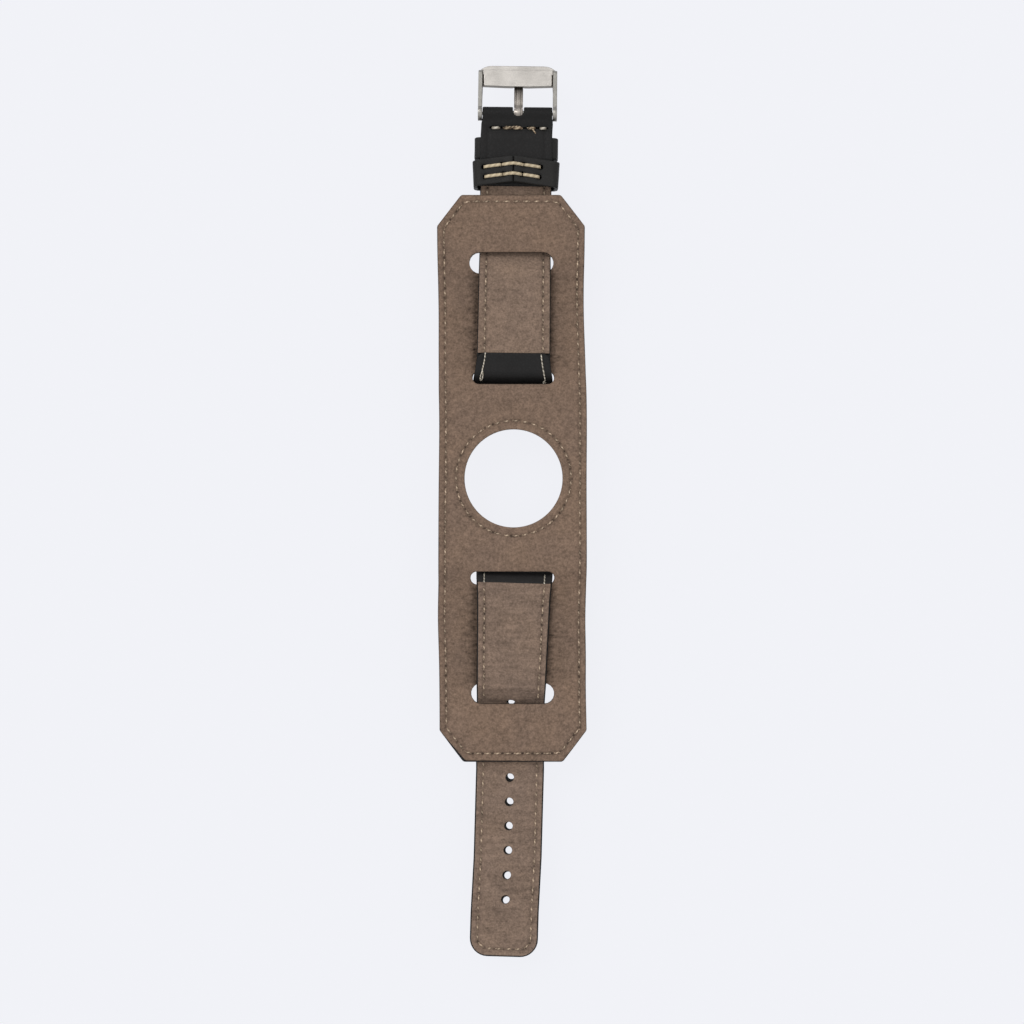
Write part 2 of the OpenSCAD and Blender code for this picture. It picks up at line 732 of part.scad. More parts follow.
module sliding_keeper() {
    y1 = sliding_keeper_y;
    y2 = y1 + sliding_keeper_w;
    x = sliding_inner_w / 2 + keeper_t;
    split_z = keeper_back_z - 0.8;
    color(black) buckle_side() difference() {
        union() {
            intersection() {
                keeper_loop(y1 - 1, y2 + keeper_chevron + 1);
                upright() chevron_plan(x, y1, y2, keeper_chevron);
                translate([-x, 0, split_z]) cube([2 * x, far, tall]);
            }
            intersection() {
                keeper_loop(y1, y2);
                translate([-x, 0, split_z - tall]) cube([2 * x, far, tall]);
            }
        }
        translate([keeper_joint_x - joint_gap / 2, 0, split_z]) cube([joint_gap, far, tall]);
    }
}

// Six coarse stitches, three in each row: one bridges the joint and one lies on each side of it
module keeper_stitches() {
    ends = [[-7.5, -3.2], [-2.7, 2.7], [3.0, 7.0]];
    x = sliding_inner_w / 2 + keeper_t;
    peak = keeper_back_z + keeper_t + keeper_lift + coarse_thread_r + 2 * seat;
    fall = keeper_lift / (x - 2.5);
    bow = keeper_chevron / x;
    color(cream) buckle_side() for (row = [0.34, 0.66]) for (e = ends) {
        y = sliding_keeper_y + sliding_keeper_w * row + keeper_chevron;
        drop = e[0] * e[1] < 0 ? 0 : fall;
        thread([keeper_joint_x + e[0], y - abs(e[0]) * bow, peak - abs(e[0]) * drop],
            [keeper_joint_x + e[1], y - abs(e[1]) * bow, peak - abs(e[1]) * drop], coarse_thread_r);
    }
}

// Buckle

module arm_side() {
    end = frame_reach - 1.3;
    r = 0.9;
    polygon(concat(
        [[0, -boss_r + 0.5], [frame_reach - plate_w, plate_front]],
        arc([end - r, plate_front + r], r, -90, 0),
        arc([end - r, arm_back - r], r, 0, 90),
        [[0, boss_r - 0.5]]
    ));
}

groove_w = 0.3;
groove_depth = 0.45;
plate_corner_w = 3.6;
plate_corner_l = 2.5;

module plate_plan() {
    x = buckle_w / 2 + arm_w;
    y1 = frame_reach - plate_w;
    inner = buckle_w / 2 + 0.3;
    polygon(concat(
        [[-inner, y1], [-3, y1 - 0.25], [3, y1 - 0.25], [inner, y1]],
        [for (k = [0:arc_steps]) let (a = 90 * k / arc_steps)
            [x - plate_corner_w * (1 - cos(a)), frame_reach - plate_corner_l * (1 - sin(a))]],
        [for (k = [arc_steps:-1:0]) let (a = 90 * k / arc_steps)
            [-x + plate_corner_w * (1 - cos(a)), frame_reach - plate_corner_l * (1 - sin(a))]]
    ));
}

module buckle_frame() {
    x = buckle_w / 2;
    color(steel) at_buckle() difference() {
        union() {
            for (s = [0, 1]) mirror([s, 0, 0]) {
                translate([x + arm_w / 2, 0, 0]) across(arm_w) arm_side();
                bar_x(boss_r, x, x + arm_w);
            }
            translate([0, 0, plate_front]) linear_extrude(plate_t) plate_plan();
        }
        bar_x(pin_r + pin_gap, -x - 2 * arm_w, x + 2 * arm_w);
        translate([tongue_x - tongue_w / 2 - 0.2, frame_reach - plate_w - 1, plate_front - 1])
            cube([tongue_w + 0.4, plate_w + 2, 1.2]);
        // A groove beside each arm, where the plate was pressed down between them
        for (s = [-1, 1])
            translate([s * (x - groove_w / 2) - groove_w / 2, frame_reach - plate_w - 1,
                plate_front + plate_t - groove_depth])
                cube([groove_w, plate_w - plate_corner_l + 1, 2]);
    }
}

module tongue_plan() {
    half = tongue_w / 2;
    tip = 0.75;
    right = concat([[half, 0], [half, frame_reach - plate_w]], arc([0, tongue_reach - tip], tip, 0, 90));
    polygon(concat(right, [for (p = reversed(right)) [-p[0], p[1]]]));
}

module buckle_tongue() {
    half = tongue_w / 2;
    color(steel) at_buckle() translate([tongue_x, 0, 0]) difference() {
        union() {
            translate([0, 0, -tongue_r]) linear_extrude(tongue_t) tongue_plan();
            bar_x(tongue_r, -half, half);
        }
        bar_x(tongue_bore_r, -tongue_w, tongue_w);
        translate([-tongue_w, tongue_bore_r / 2, -tongue_bore_r]) cube([2 * tongue_w, tongue_r, 0.14]);
    }
}

// Spring bar

module spring_bar_tube() {
    color(steel) buckle_side() translate([0, bar_y, bar_z]) difference() {
        bar_x(tube_r, -tube_half, tube_half);
        bar_x(tube_r - tube_wall, -tube_half + crimp_l, tube_half - crimp_l);
        bar_x(pin_r + 0.05, -tube_half - 1, tube_half + 1);
    }
}

module pin(s) {
    color(steel) buckle_side() translate([0, bar_y, bar_z]) mirror([s, 0, 0]) {
        bar_x(pin_r, collar_x + collar_l - 0.1, pin_tip);
        bar_x(tube_r - tube_wall - 0.05, collar_x, collar_x + collar_l);
    }
}

module spring_bar_pin_left() {
    pin(1);
}

module spring_bar_pin_right() {
    pin(0);
}

// A coil along X: rings of a thin wire, joined in one tube
module coil(half, r, wire, turns, per_turn = 8, sides = 5) {
    n = turns * per_turn;
    points = [
        for (i = [0:n]) let (a = 360 * i / per_turn, x = -half + 2 * half * i / n)
        for (k = [0:sides - 1]) let (b = 360 * k / sides, d = r + wire * cos(b))
            [x + wire * sin(b), d * cos(a), d * sin(a)]
    ];
    sides_of = [
        for (i = [0:n - 1]) for (k = [0:sides - 1])
            let (a = i * sides + k, b = i * sides + (k + 1) % sides)
            each [[a, a + sides, b], [b, a + sides, b + sides]]
    ];
    ends = [[for (k = [0:sides - 1]) k], [for (k = [sides - 1:-1:0]) n * sides + k]];
    polyhedron(points, concat(sides_of, ends));
}

module spring_bar_spring() {
    color(steel) buckle_side() translate([0, bar_y, bar_z])
        coil(collar_x - spring_wire_r - 0.05, spring_r, spring_wire_r, spring_turns);
}

pad_leather();
pad_stiffener();
pad_lining();
pad_edge_stitches();
opening_stitches();
buckle_strap_leather();
buckle_strap_stiffener();
buckle_strap_lining();
buckle_strap_stitches();
fold_stitches();
tail_strap_leather();
tail_strap_stiffener();
tail_strap_lining();
tail_strap_stitches();
fixed_keeper();
sliding_keeper();
keeper_stitches();
buckle_frame();
buckle_tongue();
spring_bar_tube();
spring_bar_spring();
spring_bar_pin_left();
spring_bar_pin_right();
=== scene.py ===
# %% [markdown]
# # A bund watch strap in Blender
#
# This lesson dresses a leather watch strap that already exists as an engineering model. Two
# narrow straps weave through a wide wrist pad, and the whole thing lies with its brown nubuck
# lining up, the way a seller photographs the back of it. The engineering model gives every size
# and place, and this script gives the leather, the threads and the steel their looks.

# %% Load the frame
import math
import random

import bmesh
import bpy
import numpy as np
from mathutils import Matrix, Vector, noise
from mathutils.bvhtree import BVHTree


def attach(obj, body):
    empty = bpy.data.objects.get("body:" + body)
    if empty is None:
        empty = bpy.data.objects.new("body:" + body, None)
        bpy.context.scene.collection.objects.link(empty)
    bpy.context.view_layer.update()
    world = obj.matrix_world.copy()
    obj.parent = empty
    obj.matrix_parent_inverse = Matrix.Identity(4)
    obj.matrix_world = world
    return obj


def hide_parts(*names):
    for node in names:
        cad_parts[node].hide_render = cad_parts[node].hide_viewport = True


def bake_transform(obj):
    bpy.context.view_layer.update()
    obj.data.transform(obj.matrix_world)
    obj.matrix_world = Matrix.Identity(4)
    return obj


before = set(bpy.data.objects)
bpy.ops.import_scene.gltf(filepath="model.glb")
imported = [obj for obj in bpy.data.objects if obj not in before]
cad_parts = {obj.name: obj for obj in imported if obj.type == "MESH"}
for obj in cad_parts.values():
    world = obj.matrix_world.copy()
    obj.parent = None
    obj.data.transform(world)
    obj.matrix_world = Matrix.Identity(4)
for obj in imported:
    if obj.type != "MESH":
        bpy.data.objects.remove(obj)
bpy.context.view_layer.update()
MM = 0.001
print("nodes:", len(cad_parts))

# %% [markdown]
# ## The sizes that the leather needs
#
# A strap maker works from a few numbers: the width of the pad, the thickness of each layer, the
# places of the slots and of the two bars. They repeat the engineering model's own values, in
# millimetres, because leather is a soft part and is modelled again here with its real edges,
# grooves and creases.

# %% Sizes of the pad, the straps and the buckle
PAD_W, PAD_L = 38.0, 145.4
PAD_END = PAD_L / 2
CORNER_W, CORNER_L = 6.2, 7.9
OPENING_R = 12.6
INNER_SLOT = (24.2, 27.6)
OUTER_SLOT = (PAD_END - 14.7 - 5.25, PAD_END - 14.7)
SLOT_W = 21.5
OUTER_T, CORE_T, PAD_LINING_T = 0.9, 0.3, 0.7
PAD_T = OUTER_T + CORE_T + PAD_LINING_T

LUG_W, WAIST_W, BUCKLE_STRAP_W, TAIL_W = 20.0, 18.9, 18.4, 17.6
LEATHER_T, LINING_T = 0.85, 0.8
STRAP_T = LEATHER_T + CORE_T + LINING_T
HALF_T = STRAP_T / 2
SEAM_INSET = 1.9
PAD_SEAM_INSET, OPENING_SEAM_INSET = 1.8, 2.2
LINING_INSET = 0.35

LUG_BORE_R = 0.9
LUG_R = LUG_BORE_R + LEATHER_T
SEAT = 0.05
LUG_Z = -SEAT - LUG_R
FLOOR_Z = LUG_Z - LUG_R - 0.35
BUCKLE_LUG, TAIL_LUG = 20.7, 16.6
BUCKLE_LUG_FLAP, TAIL_LUG_FLAP = 32.2, 27.1
TAIL_END = PAD_END + 50.7
TAIL_CORNER_R = 4.6
HOLES = 9
HOLE_PITCH, HOLE_R, HOLE_MARGIN = 6.28, 1.025, 14.7
BUCKLE_LEAN, TAIL_LEAN = 0.67, 1.66

KEEPER_T = 1.1
THREAD_ROOM = 0.55
STRAP_FACE_Z = FLOOR_Z + KEEPER_T + STRAP_T + 0.25
FLAP_Z = STRAP_FACE_Z + STRAP_T
BAR_Y = PAD_END + 21.1
BAR_Z = STRAP_FACE_Z + (STRAP_T + LEATHER_T) / 2
FOLD_BORE_R = 0.85
SLIDING_Y, SLIDING_W = PAD_END + 1.75, 6.7
FIXED_Y, FIXED_W = SLIDING_Y + SLIDING_W + 0.85, 5.5
FLAP_END = PAD_END + 2.3
TONGUE_X = 0.25
FRAME_GAP, STRAP_X = 18.16, 0.2
PAD_PITCH, OPENING_PITCH, STRAP_PITCH = 2.55, 2.4, 2.45
print("table height under the strap, mm:", round(FLOOR_Z, 3))

# %% [markdown]
# ## A camera straight above
#
# The photograph looks straight down on the strap from about an arm's length. A long lens from
# 600 mm keeps the pad and the straps almost the same scale, though the keepers stand a little
# nearer and spread outwards, as they do in the picture.


# %% Place the camera
def add(name, data):
    """A new object in the scene."""
    obj = bpy.data.objects.new(name, data)
    bpy.context.scene.collection.objects.link(obj)
    return obj


CAMERA_HEIGHT = 600 * MM
FRAME_WIDTH = 263.7 * MM
camera = add("camera", bpy.data.cameras.new("camera"))
camera.location = (-0.4 * MM, -8.65 * MM, CAMERA_HEIGHT)
camera.data.sensor_fit = "HORIZONTAL"
camera.data.angle = 2 * math.atan(FRAME_WIDTH / 2 / CAMERA_HEIGHT)
camera.data.clip_start = 0.01
bpy.context.scene.camera = camera
print("lens, mm:", round(camera.data.lens, 1))

# %% [markdown]
# ## Shader maths as Python
#
# A material here is a sum of many small effects. A tiny class wraps one socket of a node, so that
# `1 - mask * 0.3` adds the Math nodes by itself, and one method makes every other node.


# %% Sockets that can be added and multiplied
def feed(tree, slot, item):
    """Links a Value to a node's input, or sets a plain number or colour on it."""
    if isinstance(item, Value):
        tree.links.new(item.socket, slot)
    else:
        slot.default_value = item


def math_node(tree, operation, *items):
    node = tree.nodes.new("ShaderNodeMath")
    node.operation = operation
    for slot, item in zip(node.inputs, items):
        feed(tree, slot, item)
    return Value(tree, node.outputs[0])


class Value:
    """One output socket of a node, which can be added to and multiplied like a number."""

    def __init__(self, tree, socket):
        self.tree = tree
        self.socket = socket

    def math(self, operation, *others):
        return math_node(self.tree, operation, self, *others)

    def __add__(self, other):
        return self.math("ADD", other)

    __radd__ = __add__

    def __sub__(self, other):
        return self.math("SUBTRACT", other)

    def __rsub__(self, other):
        return math_node(self.tree, "SUBTRACT", other, self)

    def __mul__(self, other):
        return self.math("MULTIPLY", other)

    __rmul__ = __mul__

    def __truediv__(self, other):
        return self.math("DIVIDE", other)

    def __neg__(self):
        return self.math("MULTIPLY", -1.0)

    def clamped(self):
        return self.math("MINIMUM", 1.0).math("MAXIMUM", 0.0)

    def bell(self, width):
        """1 where the value is 0, falling smoothly to nothing past width."""
        ratio = self / width
        return (-(ratio * ratio)).math("EXPONENT")


def vary(base, *parts):
    """base, moved up and down by pairs of a value round 0.5 and how much it counts."""
    for value, amount in parts:
        base = base + (value - 0.5) * amount
    return base


def srgb(red, green, blue):
    """A colour read from a screen, 0 to 255, as the light values that a shader needs."""
    def light(c):
        c /= 255
        return c / 12.92 if c <= 0.04045 else ((c + 0.055) / 1.055) ** 2.4
    return (light(red), light(green), light(blue), 1.0)


class Finish:
    """A material with one Principled shader, whose other nodes come from node()."""

    def __init__(self, name, **plain):
        self.material = bpy.data.materials.new(name)
        self.material.use_nodes = True
        self.tree = self.material.node_tree
        self.shader = self.tree.nodes["Principled BSDF"]
        for key, value in plain.items():
            socket = key.replace("_", " ").title().replace("Ior", "IOR")
            self.shader.inputs[socket].default_value = value

    def node(self, kind, settings=(), inputs=(), output=0):
        node = self.tree.nodes.new("ShaderNode" + kind)
        for key, value in dict(settings).items():
            setattr(node, key, value)
        for key, value in dict(inputs).items():
            feed(self.tree, node.inputs[key], value)
        return Value(self.tree, node.outputs[output])

    def place(self):
        return self.node("TexCoord", output="Object")

    def parts(self, vector):
        """The three numbers of a vector, each as a Value."""
        split = self.node("SeparateXYZ", (), {0: vector}).socket.node
        return [Value(self.tree, part) for part in split.outputs]

    def seam(self):
        """How far along its nearest seam a point lies, how far from it, and how dark it is."""
        return self.parts(self.node("Attribute", {"attribute_name": "seam"}, output="Vector"))

    def noise(self, size, detail=2.0, roughness=0.5, stretch=(1, 1, 1)):
        """Cloudy noise whose blotches are about size millimetres across."""
        spread = self.node("VectorMath", {"operation": "MULTIPLY"}, {0: self.place(), 1: stretch})
        return self.node("TexNoise", (), {"Vector": spread, "Scale": 1 / (size * MM),
                                          "Detail": detail, "Roughness": roughness})

    def mix(self, factor, first, second, blend="MIX"):
        return self.node("Mix", {"data_type": "RGBA", "blend_type": blend},
                         {0: factor, 6: first, 7: second}, output=2)

    def toned(self, colour, tone):
        """The colour made lighter or darker by a grey of that tone."""
        grey = self.node("CombineColor", (), {0: tone, 1: tone, 2: tone})
        return self.mix(1.0, colour, grey, "MULTIPLY")

    def connect(self, **links):
        for key, value in links.items():
            name = key.replace("_", " ").title()
            if name == "Height":
                bump = {"Height": value * MM, "Strength": 1.0, "Distance": 1.0}
                value, name = self.node("Bump", (), bump), "Normal"
            self.tree.links.new(value.socket, self.shader.inputs[name])
        return self.material


# %% [markdown]
# ## Nubuck
#
# The lining is nubuck: calf whose grain side is sanded to a short velvet nap. It has almost no
# gloss, a fine salt-and-pepper grain well under half a millimetre, and soft clouds where fingers
# brushed the nap. Each sheet of leather carries an attribute with three numbers: the distance
# along its nearest seam, the distance away from it, and a shade. With the first two the shader
# presses the groove that the sewing thread pulls down and pricks the needle holes exactly under
# the threads, and paints shade into both. The shade attribute paints shade beside the straps and
# a dark line along the pad's cut edge, and there the nap's crinkles are painted in light and shade
# as well as pressed in relief. The creases' shading is painted into the colour too.


# %% Nubuck, for the pad and the straps
def nubuck(name, colour, cool, warm, streak, crease_shading=0.45):
    finish = Finish(name, specular_ior_level=0.12, sheen_weight=0.04, sheen_roughness=0.6)
    clouds = finish.noise(11.0, detail=3.0)
    patches = finish.noise(2.6, detail=3.0, roughness=0.6)
    nap = finish.noise(0.85, detail=3.0, roughness=0.7)
    dust = finish.noise(0.45, detail=2.0)
    creases = finish.noise(1.5, detail=3.0, roughness=0.6, stretch=streak)
    crinkles = finish.noise(0.8, detail=2.0, stretch=(0.5, 1, 1))
    along, away, shade = finish.seam()
    groove = away.bell(0.6)
    between = along.math("FRACT") - 0.5
    pricks = (0.5 - between.math("ABSOLUTE")).bell(0.15) * away.bell(0.3)
    tint = finish.mix((clouds * 1.6 - 0.3).clamped(), cool, warm)
    base = finish.mix(0.55, tint, colour)
    # Painted shade: shaded creases and crinkles; the groove, pricks and shade darken it.
    tone = vary(1.0, (patches, 0.45), (nap, 1.15), (dust, 1.0), (creases, crease_shading), (clouds, 0.16))
    tone = tone + (crinkles - 0.5) * shade * 6.0
    tone = tone * (1.0 - groove * 0.2) * (1.0 - pricks * 0.75) * (1.0 - shade)
    rough = vary(0.84, (nap, 0.14)).clamped()
    height = (nap * 0.10 + dust * 0.04 + patches * 0.10 + creases * 0.08
              - groove * 0.05 - pricks * 0.16 + crinkles * shade * 0.5)
    return finish.connect(base_color=finish.toned(base, tone), roughness=rough, height=height)


pad_nubuck = nubuck("pad nubuck", srgb(121, 101, 87), srgb(115, 97, 86), srgb(125, 103, 85),
                    (1, 1, 1))
strap_nubuck = nubuck("strap nubuck", srgb(126, 107, 93), srgb(120, 102, 92), srgb(131, 110, 93),
                      (0.25, 1, 1))
tail_nubuck = nubuck("tail nubuck", srgb(122, 104, 91), srgb(116, 99, 90), srgb(127, 106, 90),
                     (0.14, 1, 1), 0.95)
print("nubuck nodes:", len(pad_nubuck.node_tree.nodes))

# %% [markdown]
# ## Black calf and painted edges
#
# The outer face is smooth black calf. Its grain is a net of fine cells with soft valleys between
# them, drawn here by a Voronoi texture, and the gloss breaks up with it. The same shade attribute
# as in the nubuck makes it darker on the fold, paints shade into the seam groove and the stitch
# pits, and paints light on the lug flaps where they dive under the pad. Deep in the pits of the
# coarse stitches, the dark of the needle holes is painted shade, a glossless material of its own.
# The cut edges are sealed with several coats of black edge paint, which is smoother than the
# leather.


# %% Black calf and edge paint
def calf(name, colour, cell, depth, rough, shine=0.22):
    finish = Finish(name, specular_ior_level=shine)
    cells = finish.node("TexVoronoi", {"feature": "DISTANCE_TO_EDGE"},
                        {"Vector": finish.place(), "Scale": 1 / (cell * MM)})
    valleys = 1.0 - (cells * 3.5).clamped()
    clouds = finish.noise(4.0, detail=3.0)
    pores = finish.noise(0.35, detail=2.0)
    _, away, shade = finish.seam()
    groove = away.bell(0.4)
    # Painted shade in the seam groove and from the shade attribute, whose negative values paint
    # light.
    tone = vary(1.0, (clouds, 0.5), (pores, 0.3)) - valleys * 0.15 - groove * 0.25
    gloss = (vary(rough, (pores, 0.2)) + valleys * 0.12).clamped()
    height = pores * 0.008 + clouds * 0.05 - valleys * depth - groove * 0.05
    return finish.connect(base_color=finish.toned(colour, tone * (1.0 - shade)), roughness=gloss,
                          height=height)


def edge_paint(name, colour):
    finish = Finish(name, specular_ior_level=0.3)
    lumps = finish.noise(0.8, detail=2.0)
    grain = finish.noise(0.25, detail=1.0)
    return finish.connect(base_color=finish.toned(colour, 0.8 + lumps * 0.4),
                          roughness=(0.42 + grain * 0.3).clamped(),
                          height=lumps * 0.06 + grain * 0.01)


black_calf = calf("black calf", srgb(27, 26, 26), 0.75, 0.014, 0.5)
keeper_calf = calf("keeper calf", srgb(38, 37, 36), 0.6, 0.012, 0.55)
# Painted shade: a dark, glossless calf stands for the shade deep in the needle holes.
painted_pit_shade = calf("needle hole", srgb(10, 9, 9), 0.6, 0.012, 0.8, 0.0)
black_edge = edge_paint("black edge paint", srgb(30, 28, 27))
brown_edge = edge_paint("brown edge paint", srgb(58, 48, 42))

# %% [markdown]
# ## Thread
#
# Saddler's thread is two or three waxed plies twisted together. Each stitch has its own UV map,
# whose first coordinate runs along the thread and whose second runs round it, so slanted stripes
# read as the twist. The seams are sewn in fine beige thread, and the keepers in coarse cream.


# %% Twisted thread
def thread(name, colour, shade, plies, worn, twist=0.42):
    finish = Finish(name, specular_ior_level=0.25)
    along, turn, _ = finish.parts(finish.node("UVMap", {"uv_map": "twist"}))
    phase = (along * plies + turn) * (2 * math.pi)
    ply = phase.math("SINE") * 0.5 + 0.5
    fuzz = finish.noise(0.12, detail=2.0)
    wear = finish.noise(3.5, detail=1.0)
    tone = vary(0.83, (ply, twist), (fuzz, 0.35), (wear, worn))
    return finish.connect(base_color=finish.toned(finish.mix(ply, shade, colour), tone),
                          roughness=(0.7 + fuzz * 0.2).clamped(), height=ply * 0.02 + fuzz * 0.02)


fine_thread = thread("fine beige thread", srgb(188, 167, 145), srgb(148, 127, 108), 1.2, 1.5)
pale_thread = thread("pale thread", srgb(214, 206, 192), srgb(176, 166, 150), 1.2, 0.8)
tan_thread = thread("tan thread", srgb(190, 172, 146), srgb(126, 104, 84), 1.2, 1.6)
coarse_thread = thread("coarse cream thread", srgb(216, 200, 170), srgb(204, 186, 155), 1.7, 0.5,
                       0.16)

# %% [markdown]
# ## Steel
#
# The buckle is stamped steel with a fine brushed finish. Brushing leaves thousands of parallel
# scratches, so a noise stretched hard along them varies the roughness and a very shallow bump.
# Along the tongue, soft painted shade darkens it under the plate and a painted highlight brightens
# its curl. Darker steels paint shade into the frame's grooves and onto its side walls.


# %% Brushed and drawn steel
def steel(name, colour, rough, stretch, depth, size=0.16, streaks=0.16, painted_bands=()):
    """Brushed steel. A band (y, width, change) paints shade, or a highlight, round a place on y."""
    finish = Finish(name, metallic=1.0)
    lines = finish.noise(size, detail=3.0, roughness=0.7, stretch=stretch)
    smears = finish.noise(3.0, detail=3.0)
    specks = finish.noise(0.3, detail=1.0)
    tone = vary(0.93, (lines, streaks), (smears, 0.45), (specks, 0.3))
    tone = tone.math("MAXIMUM", 0.25).math("MINIMUM", 1.6)
    # Painted shade and painted highlights, one soft band each.
    for y, width, change in painted_bands:
        along = finish.parts(finish.place())[1]
        tone = tone * ((along - y * MM).bell(width * MM) * change + 1.0)
    gloss = vary(rough, (lines, 0.22), (smears, 0.1)).clamped()
    return finish.connect(base_color=finish.toned(colour, tone), roughness=gloss,
                          height=lines * depth)


# Painted shade along the tongue, darkest under the plate, and a painted highlight on its curl.
TONGUE_SHADE_AND_HIGHLIGHTS = [(100.6, 1.3, -0.68), (96.9, 0.8, 0.45), (96.0, 0.2, -0.35), (94.7, 0.7, 1.3)]
brushed_steel = steel("brushed steel", srgb(206, 201, 195), 0.34, (0.04, 1, 1), 0.004)
arm_steel = steel("arm steel", srgb(170, 167, 161), 0.36, (1, 0.04, 1), 0.004)
# Painted shadow: the dark steel in the grooves where the plate meets the arms.
groove_shade_steel = steel("groove shade steel", srgb(96, 92, 87), 0.5, (1, 0.1, 1), 0.01)
# Painted shade: the darker steel on the frame's side walls.
edge_steel = steel("edge steel", srgb(140, 136, 130), 0.4, (1, 1, 0.2), 0.01)
tongue_steel = steel("tongue steel", srgb(148, 141, 134), 0.26, (1, 0.03, 0.03), 0.01, 0.42, 4.5,
                     TONGUE_SHADE_AND_HIGHLIGHTS)
bar_steel = steel("drawn steel", srgb(170, 168, 162), 0.28, (0.05, 1, 1), 0.003)

# %% [markdown]
# ## Lines that the leather follows
#
# Seen from the side, the pad is a gentle wave and each strap is a line with rounded bends: up
# through the inner slot, over the pad, and down through the outer slot. The same few stations and
# corners as in the engineering model give them. A `Line` knows its points, how far along each
# one lies, and which way it runs there, so that flat leather can be laid on it.

# %% The wave of the pad
CREST_Z, TROUGH_Z = 0.5, -1.6
BUCKLE_END_Z = FLAP_Z + THREAD_ROOM - 0.45
TAIL_PAD_Z = FLOOR_Z + STRAP_T + 2 * THREAD_ROOM
NEAR = [(0, 0), (OPENING_R + 1.2, 0), (INNER_SLOT[0] - 1.8, CREST_Z), (INNER_SLOT[1], TROUGH_Z),
        (OUTER_SLOT[0] - 2.8, TROUGH_Z)]
BUCKLE_STATIONS = NEAR + [(OUTER_SLOT[1] + 1.95, CREST_Z), (PAD_END, BUCKLE_END_Z)]
TAIL_STATIONS = NEAR + [(OUTER_SLOT[1] + 1.95, TAIL_PAD_Z), (PAD_END, TAIL_PAD_Z)]


def wave_height(stations, y):
    """Height of the pad's outer face at a distance from the opening."""
    y = min(y, stations[-1][0])
    for (y0, z0), (y1, z1) in zip(stations, stations[1:]):
        if y <= y1:
            t = (y - y0) / (y1 - y0)
            return z0 + (z1 - z0) * t * t * (3 - 2 * t)
    return stations[-1][1]


def pad_face(depth, stations):
    """One half of the pad seen from the side, depth above its outer face."""
    ys = np.linspace(0, PAD_END, 400)
    zs = np.array([wave_height(stations, y) for y in ys])
    slope = np.gradient(zs, ys)
    size = np.sqrt(1 + slope ** 2)
    return ys - depth * slope / size, zs + depth / size


def pad_surface(depth):
    """A function that gives the height of that layer of the pad at any y."""
    y1, z1 = pad_face(depth, BUCKLE_STATIONS)
    y2, z2 = pad_face(depth, TAIL_STATIONS)
    ys = np.concatenate([-y2[::-1], y1[1:]])
    zs = np.concatenate([z2[::-1], z1[1:]])
    return lambda y: np.interp(y, ys, zs)


PAD_UNDER, PAD_OVER = pad_surface(0), pad_surface(PAD_T)


# %% The bends of the straps
def rounded(corners, radii, steps=10):
    """The path through these corners, each rounded by its radius."""
    points = [np.array(corners[0], float)]
    for a, b, c, r in zip(corners, corners[1:], corners[2:], radii):
        a, b, c = (np.array(p, float) for p in (a, b, c))
        u = (b - a) / np.linalg.norm(b - a)
        v = (c - b) / np.linalg.norm(c - b)
        turn = math.atan2(u[0] * v[1] - u[1] * v[0], u @ v)
        side = math.copysign(1, turn)
        start = np.array([-u[1], u[0]])
        centre = b - u * r * math.tan(abs(turn) / 2) + start * side * r
        for k in range(steps + 1):
            t = turn * k / steps
            out = np.array([start[0] * math.cos(t) - start[1] * math.sin(t),
                            start[0] * math.sin(t) + start[1] * math.cos(t)])
            points.append(centre - side * r * out)
    points.append(np.array(corners[-1], float))
    return np.array(points)


def crossing(a, b, room):
    """The slope at which a strap this thick just passes between two edges of a slot."""
    return math.asin(room / math.dist(a, b)) + math.atan2(b[1] - a[1], b[0] - a[0])


def meet(point, angle, z):
    """Where the line through a point at this slope comes to the height z."""
    return (point[0] + (z - point[1]) / math.tan(angle), z)


SLOT_GAP = 2 * SEAT + LUG_W / 2 * 0.85 * math.sin(math.radians(max(BUCKLE_LEAN, TAIL_LEAN)))


def weave(side, lug_y, low_z):
    """Corners of a strap's middle line through both slots. side is 1 for the buckle strap."""
    edges = INNER_SLOT + OUTER_SLOT
    faces = (PAD_UNDER, PAD_OVER, PAD_OVER, PAD_UNDER)
    a, b, c, d = [(y, float(face(side * y))) for y, face in zip(edges, faces)]
    up = crossing(a, b, STRAP_T + 2 * SLOT_GAP)
    down = crossing((c[0], -c[1]), (d[0], -d[1]), STRAP_T + 0.8)
    middle = ((a[0] + b[0]) / 2, (a[1] + b[1]) / 2)
    room = HALF_T + SLOT_GAP
    leave = (d[0] - room * math.sin(down), d[1] - room * math.cos(down))
    return [(lug_y, LUG_Z), meet(middle, up, LUG_Z), meet(middle, up, b[1] + room),
            meet(leave, -down, c[1] + HALF_T + 2 * SLOT_GAP), meet(leave, -down, low_z)]


STRAP_MID_Z = STRAP_FACE_Z + HALF_T
TAIL_MID_Z = FLOOR_Z + HALF_T + THREAD_ROOM
buckle_corners = weave(1, BUCKLE_LUG, -1.2)
buckle_corners += [(PAD_END + 4, STRAP_MID_Z), (BAR_Y, STRAP_MID_Z)]
buckle_middle = rounded(buckle_corners, (1.9, 1.5, 3, 3.5, 6))
tail_corners = weave(-1, TAIL_LUG, TAIL_MID_Z)
tail_corners += [(PAD_END + 18, TAIL_MID_Z), (TAIL_END, TAIL_MID_Z + 1.6)]
tail_middle = rounded(tail_corners, (1.9, 1.5, 2.6, 3, 120))


